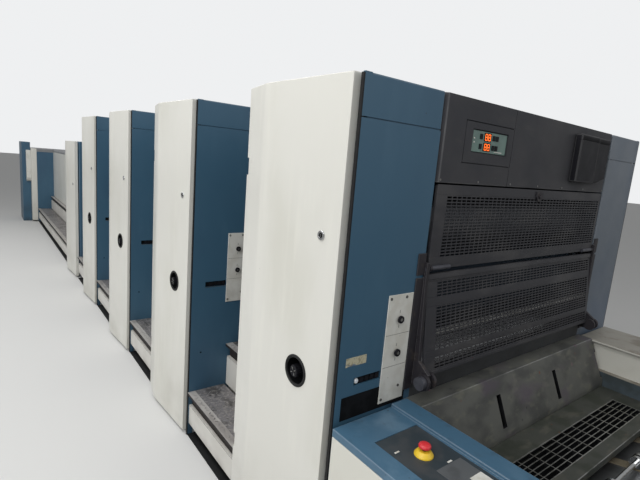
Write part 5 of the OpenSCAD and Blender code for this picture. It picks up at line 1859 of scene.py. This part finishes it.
@dataclass
class Infeed:
    """Aprons, footboard, grating, side desk and the feed table."""

    row: Row
    bar: float = 0.003
    bars: int = 7
    cross_bars: int = 15
    ledge_z: Span = (0.530, 0.618)
    ledge_w: float = 0.036
    slot_z: Span = (0.575, 0.725)
    slot_sides: tuple[Span, ...] = (
        (-0.778, -0.722), (-0.272, -0.231), (0.231, 0.264), (0.722, 0.770))
    grey_plate: tuple[Span, Span] = ((2.625, -0.990), (3.280, -0.872))
    pale_plate: tuple[Span, Span] = ((2.700, -0.930), (2.860, -0.874))
    dashes: tuple[Span, ...] = ((2.502, -1.030), (2.619, -0.917))

    def build(self) -> None:
        """Builds everything between the first unit and the feeder."""
        # Faces inside the aprons' slots are near-black, painted shade of the slots.
        Shell("aprons", "apron_grey", Paint.APRON, Round(0.003, 2), worn=0.3, zones=[
            Zone(*self.slot_z, Paint.BLACK_AND_SHADE, sides, 2.0) for sides in self.slot_sides]).build()
        Shell("footboard", "apron_grey", Paint.BOARD, Round(0.003, 2), worn=0.4).build()
        Shell("infeed_base", "frame_dark", Paint.FRAME, Round(0.004, 2), worn=0.1).build()
        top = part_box("drive_side_wall")[1].z
        Shell("drive_side_wall", "desk_white", Paint.DESK, Round(0.004, 2), worn=0.1, zones=[
            Zone(top - 0.006, top + 0.001, Paint.SLAB, steepest=2.0)]).build()
        ledge = Shape("wall_ledge", Paint.LEDGE, Paint.SLAB)
        wall_low, wall_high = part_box("drive_side_wall")
        y0, (z0, z1) = wall_low.y - 0.0005, self.ledge_z
        ledge.box((wall_low.x, y0, z0), (wall_high.x, y0 + self.ledge_w, z1 - 0.004))
        ledge.box((wall_low.x, y0, z1 - 0.004), (wall_high.x, y0 + self.ledge_w, z1), 1)
        mount(ledge.made(), FIXED, "desk_white")
        Shell("desk_body", "desk_white", Paint.DESK, Round(0.004, 2), worn=0.1).build()
        Shell("desk_top", "desk_blue", Paint.DESK_BLUE, Round(0.0035, 3), worn=0.15).build()
        Shell("desk_panel", "panel_black", Paint.PANEL, Round(0.001, 1), worn=0.2).build()
        self.grating()
        self.desk_details()
        self.stop()
        self.table()

    def grating(self) -> None:
        """Builds the grating of upright bars in its frame, their sides near-black as painted shade, and a
        dark sheet of painted shade under it.
        """
        low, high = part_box("grating")
        t, at = self.bar / 2, (low.x, low.y, low.z)
        size = high - low
        step_x = size.x / (self.bars - 1)
        step_y = size.y / (self.cross_bars - 1)
        worn = size.z - 0.0022
        parts = []
        # The bars' sides are near-black as painted shade; only their worn tops are bright.
        for name, finish, z0, z1 in (("sides", Paint.BLACK_AND_SHADE, 0.0, worn),
                                     ("edges", Paint.GALVANISED, worn, size.z)):
            along = Shape("bar").box((-t, 0, z0), (t, size.y, z1))
            across = Shape("bar").box((0, -t, z0), (size.x, t, z1 - 0.0003))
            parts.append(laid(f"row_{name}", along, finish, at, (self.bars, (step_x, 0, 0))))
            parts.append(laid(f"tie_{name}", across, finish, at, (self.cross_bars, (0, step_y, 0))))
        mount(joined("grating_bars", parts), FIXED, "grating_steel", "grating")
        # A near-black sheet under the grating is painted shade below it.
        pit = Shape("grating_pit_painted_shade", Paint.BLACK_AND_SHADE)
        pit.box((low.x - 0.004, low.y - 0.004, low.z - 0.0145),
                (high.x + 0.004, high.y + 0.004, low.z - 0.012))
        mount(pit.made(), FIXED, "frame_dark")

    def desk_details(self) -> None:
        """Builds the grey and the pale plate, the two dashes and the keys on the sunk panel."""
        low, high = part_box("desk_panel")
        z = high.z
        shape = Shape("desk_panel_details", Paint.SUB_PANEL, Paint.SIGN, Paint.BLACK, Paint.LAMP)
        (gx0, gy0), (gx1, gy1) = self.grey_plate
        shape.box((gx0, gy0, z - 0.001), (gx1, gy1, z + 0.0012))
        (px0, py0), (px1, py1) = self.pale_plate
        shape.box((px0, py0, z - 0.001), (px1, py1, z + 0.0022), 1)
        for x, y in self.dashes:
            shape.box((x - 0.003, y - 0.010, z - 0.001), (x + 0.003, y + 0.010, z + 0.0008), 1)
        for k in range(4):
            x = gx0 + 0.30 + k * 0.060
            shape.box((x, gy0 + 0.012, z), (x + 0.034, gy0 + 0.036, z + 0.0055), 2)
            shape.rod((x + 0.017, gy0 + 0.060, z - 0.001), Axis.Z, 0.008, 0.010, 3, 24)
        mount(shape.made(Round(0.0008, 2)), FIXED, "panel_black")

    def stop(self) -> None:
        """Builds the emergency stop: a yellow collar and a red mushroom head."""
        low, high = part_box("stop_base")
        at = ((low.x + high.x) / 2, (low.y + high.y) / 2, low.z)
        r, h = (high.x - low.x) / 2, high.z - low.z
        base = Shape("stop_collar", Paint.YELLOW, Paint.BLACK)
        base.turned(at, (0, 0, 1), [(0.0, 0.0), (r, 0.0), (r, 0.003), (r - 0.0015, 0.0055),
                                    (r - 0.0065, h - 0.004), (r - 0.0105, h), (0.0072, h),
                                    (0.0072, h - 0.006), (0.0, h - 0.006)])
        mount(base.made(), FIXED, "stop_yellow", "stop_base")
        low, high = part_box("stop_button")
        r, top = (high.x - low.x) / 2, high.z
        head = top - 0.014
        knob = Shape("stop_mushroom", Paint.RED, Paint.BLACK)
        knob.turned((at[0], at[1], 0), (0, 0, 1),
                    [(0.0, head), (r - 0.0015, head), (r, head + 0.002), (r, head + 0.006),
                     (r * 0.92, head + 0.0095), (r * 0.7, head + 0.0125), (r * 0.36, top - 0.0002),
                     (0.0, top)])
        knob.rod((at[0], at[1], low.z), Axis.Z, head - low.z + 0.001, 0.006, 1, 24)
        mount(knob.made(), "stop_button", "stop_red", "stop_button")

    def table(self) -> None:
        """Builds the feed table with its tapes and running wheels."""
        Shell("feed_table", "table_steel", Paint.TABLE, Round(0.002, 2), worn=0.1).build()
        Shell("feed_tapes", "tape_woven", Paint.TAPE, Round(0.0008, 1), worn=0.0).build()
        Shell("feed_wheels", "wheel_chrome", Paint.CHROME, Round(0.0015, 2), worn=0.0).build()


@dataclass
class Feeder:
    """Feeder with its frame, suction head and pile board."""

    row: Row
    planks: int = 9
    link_pitch: float = 0.0254
    suckers: int = 4

    def build(self) -> None:
        """Builds the feeder."""
        Shell("feeder_housings", "feeder_blue", Paint.BLUE, Round(0.006, 3), worn=0.12).build()
        Shell("feeder_frame", "feeder_blue", Paint.BLUE, Round(0.005, 3), worn=0.12).build()
        Shell("suction_head", "head_aluminium", Paint.ALUMINIUM, Round(0.006, 3), worn=0.1).build()
        self.head()
        pile("feeder_pile_board", self.planks, self.link_pitch)

    def head(self) -> None:
        """Builds the suckers, their slide rods and the blower under the suction head."""
        low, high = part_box("suction_head")
        shape = Shape("suction_head_details", Paint.ALUMINIUM, Paint.RUBBER, Paint.CHROME)
        for k in range(self.suckers):
            y = low.y + (k + 0.5) * (high.y - low.y) / self.suckers
            for x, drop in ((low.x + 0.05, 0.060), (high.x - 0.06, 0.075)):
                shape.rod((x, y, low.z + 0.002), Axis.Z, -drop, 0.009, 2, 20)
                shape.rod((x, y, low.z - drop + 0.004), Axis.Z, -0.014, 0.014, 0, 20, 0.018)
                shape.rod((x, y, low.z - drop - 0.009), Axis.Z, -0.008, 0.018, 1, 20, 0.021)
        mount(shape.made(Round(0.001, 1)), FIXED, "head_aluminium")


def pile(node: str, planks: int, link_pitch: float) -> None:
    """Builds a pile board of planks on its lifting bars and chains, in place of its node.

    Args:
        node: The CAD node.
        planks: Planks across the board.
        link_pitch: Pitch of the chain links.
    """
    low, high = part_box(node)
    board_l, board_w, board_t, lift = 0.860, 1.120, 0.060, 0.060
    board_z = low.z + lift
    gap = 0.006
    step = board_w / planks
    plank = Shape("plank").box((0, 0, 0), (board_l, step - gap, board_t * 0.4))
    Round(0.002, 2).work(plank.body, -1)
    deck = laid(node + "_deck", plank, Paint.WOOD,
                (low.x, -board_w / 2 + gap / 2, board_z + board_t * 0.6),
                (planks, (0, step, 0)))
    bearer = Shape("bearer").box((0, -board_w / 2 + 0.004, 0),
                                 (0.08, board_w / 2 - 0.004, board_t * 0.6))
    bearers = laid(node + "_bearers", bearer, Paint.WOOD, (low.x + 0.01, 0, board_z),
                   (4, ((board_l - 0.10) / 3, 0, 0)))
    mount(joined(node + "_planks", [deck, bearers]), FIXED, "board_wood", node)
    bars = Shape(node + "_bars", Paint.BRACKET)
    link_form = Shape("link")
    for y in (-0.0045, 0.0045):
        link_form.box((-0.006, y - 0.001, -link_pitch * 0.5), (0.006, y + 0.001, link_pitch * 0.5))
    link_form.rod((0, -0.006, 0), Axis.Y, 0.012, 0.004, 0, 8)
    mesh = plain("link", link_form)
    chains = []
    for x in (low.x + 0.2 * board_l, low.x + 0.8 * board_l):
        bars.box((x - 0.03, low.y, low.z), (x + 0.03, high.y, board_z))
        for side, edge in ((1, low.y), (-1, high.y)):
            start = (x, edge + side * 0.007, board_z)
            count = int((high.z - board_z) / link_pitch)
            copy = link(f"{node}_chain_{len(chains)}", mesh.data.copy())
            chains.append(Tools.rows.run(copy, {
                "Start": start, "Columns": count, "Column Step": (0, 0, link_pitch), "Rows": 1,
                "Row Step": (0, 0, 0), "Turn": 0.0, "Finish": Paint.ZINC.material()}))
    bpy.data.objects.remove(mesh)
    mount(bars.made(Round(0.004, 2)), FIXED, "bracket_dark")
    mount(joined(node + "_chains", chains), FIXED, "hinge_steel")


@dataclass
class Delivery:
    """Delivery head, extended delivery and station with its cabinet."""

    row: Row

    def build(self) -> None:
        """Builds the delivery end."""
        for node, slot, finish, width, worn in (
                ("delivery_head", "housing_blue", Paint.BLUE, 0.006, 0.12),
                ("delivery_head_core", "frame_dark", Paint.CHARCOAL, 0.004, 0.2),
                ("extended_delivery", "hood_grey", Paint.DOOR, 0.004, 0.0),
                ("delivery_hoods", "hood_grey", Paint.HOOD, 0.005, 0.2),
                ("station_sides", "housing_blue", Paint.BLUE, 0.006, 0.12),
                ("station_core", "frame_dark", Paint.FRAME, 0.004, 0.1),
                ("station_covers", "door_white", Paint.DOOR, 0.008, 0.0),
                ("station_hood", "hood_grey", Paint.HOOD, 0.006, 0.2),
                ("control_cabinet", "housing_blue", Paint.BLUE, 0.008, 0.12),
                ("operating_box", "box_white", Paint.BOX, 0.006, 0.0)):
            Shell(node, slot, finish, Round(width, 3), worn=worn).build()
        pile("delivery_pile_board", 9, 0.0254)


@dataclass
class Studio:
    """Camera, lamps, world and floor."""

    eye: Vec = (3.33, -2.044, 1.66)
    yaw: float = math.radians(37.66)
    pitch: float = math.radians(9.71)
    roll: float = math.radians(4.66)
    lens: float = 25.0
    backdrop: Color = (0.86, 0.87, 0.88)
    ambient: float = 0.34
    seen_by: tuple[tuple[str, float], ...] = (
        ("Is Camera Ray", 1.0), ("Is Glossy Ray", 0.55), ("Is Transmission Ray", 1.0))

    def build(self) -> None:
        """Builds the studio."""
        self.camera()
        self.world()
        self.floor()
        self.lamp("key_lamp", (3.0, -7.5, 4.6), (0.0, -1.0, 1.0), (6.0, 3.0), 300)
        self.lamp("ceiling_lamp", (-1.0, -2.6, 4.4), (-1.0, -1.8, 0.0), (12.0, 1.2), 200)
        self.lamp("front_lamp", (7.5, 1.5, 4.2), (2.0, 0.0, 0.9), (3.0, 3.0), 50)
        bpy.context.scene.view_settings.view_transform = "Standard"

    def camera(self) -> None:
        """Builds the camera at the photograph's viewing angle."""
        ahead = Vector((-math.cos(self.yaw) * math.cos(self.pitch),
                        math.sin(self.yaw) * math.cos(self.pitch), -math.sin(self.pitch)))
        level = ahead.cross(Vector((0, 0, 1))).normalized()
        above = level.cross(ahead)
        right = level * math.cos(self.roll) + above * math.sin(self.roll)
        up = above * math.cos(self.roll) - level * math.sin(self.roll)
        data = bpy.data.cameras.new("photo_camera")
        data.lens = self.lens
        data.sensor_width = 36.0
        data.clip_end = 200.0
        camera = bpy.data.objects.new("photo_camera", data)
        bpy.context.scene.collection.objects.link(camera)
        matrix = Matrix((right, up, -ahead)).transposed().to_4x4()
        matrix.translation = Vector(self.eye)
        camera.matrix_world = matrix
        bpy.context.scene.camera = camera

    def world(self) -> None:
        """Builds a plain world that is pale to the camera and softer as a light."""
        world = bpy.data.worlds.new("studio")
        world.use_nodes = True
        world.node_tree.nodes.clear()
        tree = Tree(world.node_tree)
        path = tree.node("ShaderNodeLightPath")
        strength: Value = self.ambient
        for ray, level in self.seen_by:
            strength = tree.calc("MULTIPLY_ADD", path.outputs[ray], level - self.ambient, strength)
        light = tree.node("ShaderNodeBackground", {"Color": self.backdrop, "Strength": strength})
        tree.node("ShaderNodeOutputWorld", {"Surface": light.outputs[0]})
        bpy.context.scene.world = world

    def floor(self) -> None:
        """Builds the plain pale floor."""
        mesh = bpy.data.meshes.new("floor")
        r = 60.0
        mesh.from_pydata([(-r, -r, 0), (r, -r, 0), (r, r, 0), (-r, r, 0)], [], [(0, 1, 2, 3)])
        floor = link("floor", mesh)
        finish = Finish("pale_floor", (0.62, 0.62, 0.61), 0.7, gloss_spread=0.02)
        mesh.materials.append(finish.material())

    def lamp(self, name: str, place: Vec, target: Vec, size: Span, power: float) -> None:
        """Adds a soft lamp.

        Args:
            name: Name of the lamp.
            place: Where it hangs.
            target: The point that it faces.
            size: Its width and height.
            power: Its power in watts.
        """
        data = bpy.data.lights.new(name, "AREA")
        data.shape = "RECTANGLE"
        data.size, data.size_y = size
        data.energy = power
        lamp = bpy.data.objects.new(name, data)
        bpy.context.scene.collection.objects.link(lamp)
        lamp.location = place
        lamp.rotation_euler = (Vector(target) - Vector(place)).to_track_quat("-Z", "Y").to_euler()


def main() -> None:
    """Builds the studio and every sub-assembly in order."""
    logging.basicConfig(level=logging.INFO, format="%(name)s: %(message)s")
    Tools.make()
    row = Row.read()
    for assembly in (Studio(), Housings(row), Doors(), Knobs(row), Fronts(row), Guards(row),
                     Cylinders(), Steps(row), Infeed(row), Feeder(row), Delivery(row)):
        assembly.build()
        LOG.info("%s is done", type(assembly).__name__)


if __name__ == "__main__":
    main()
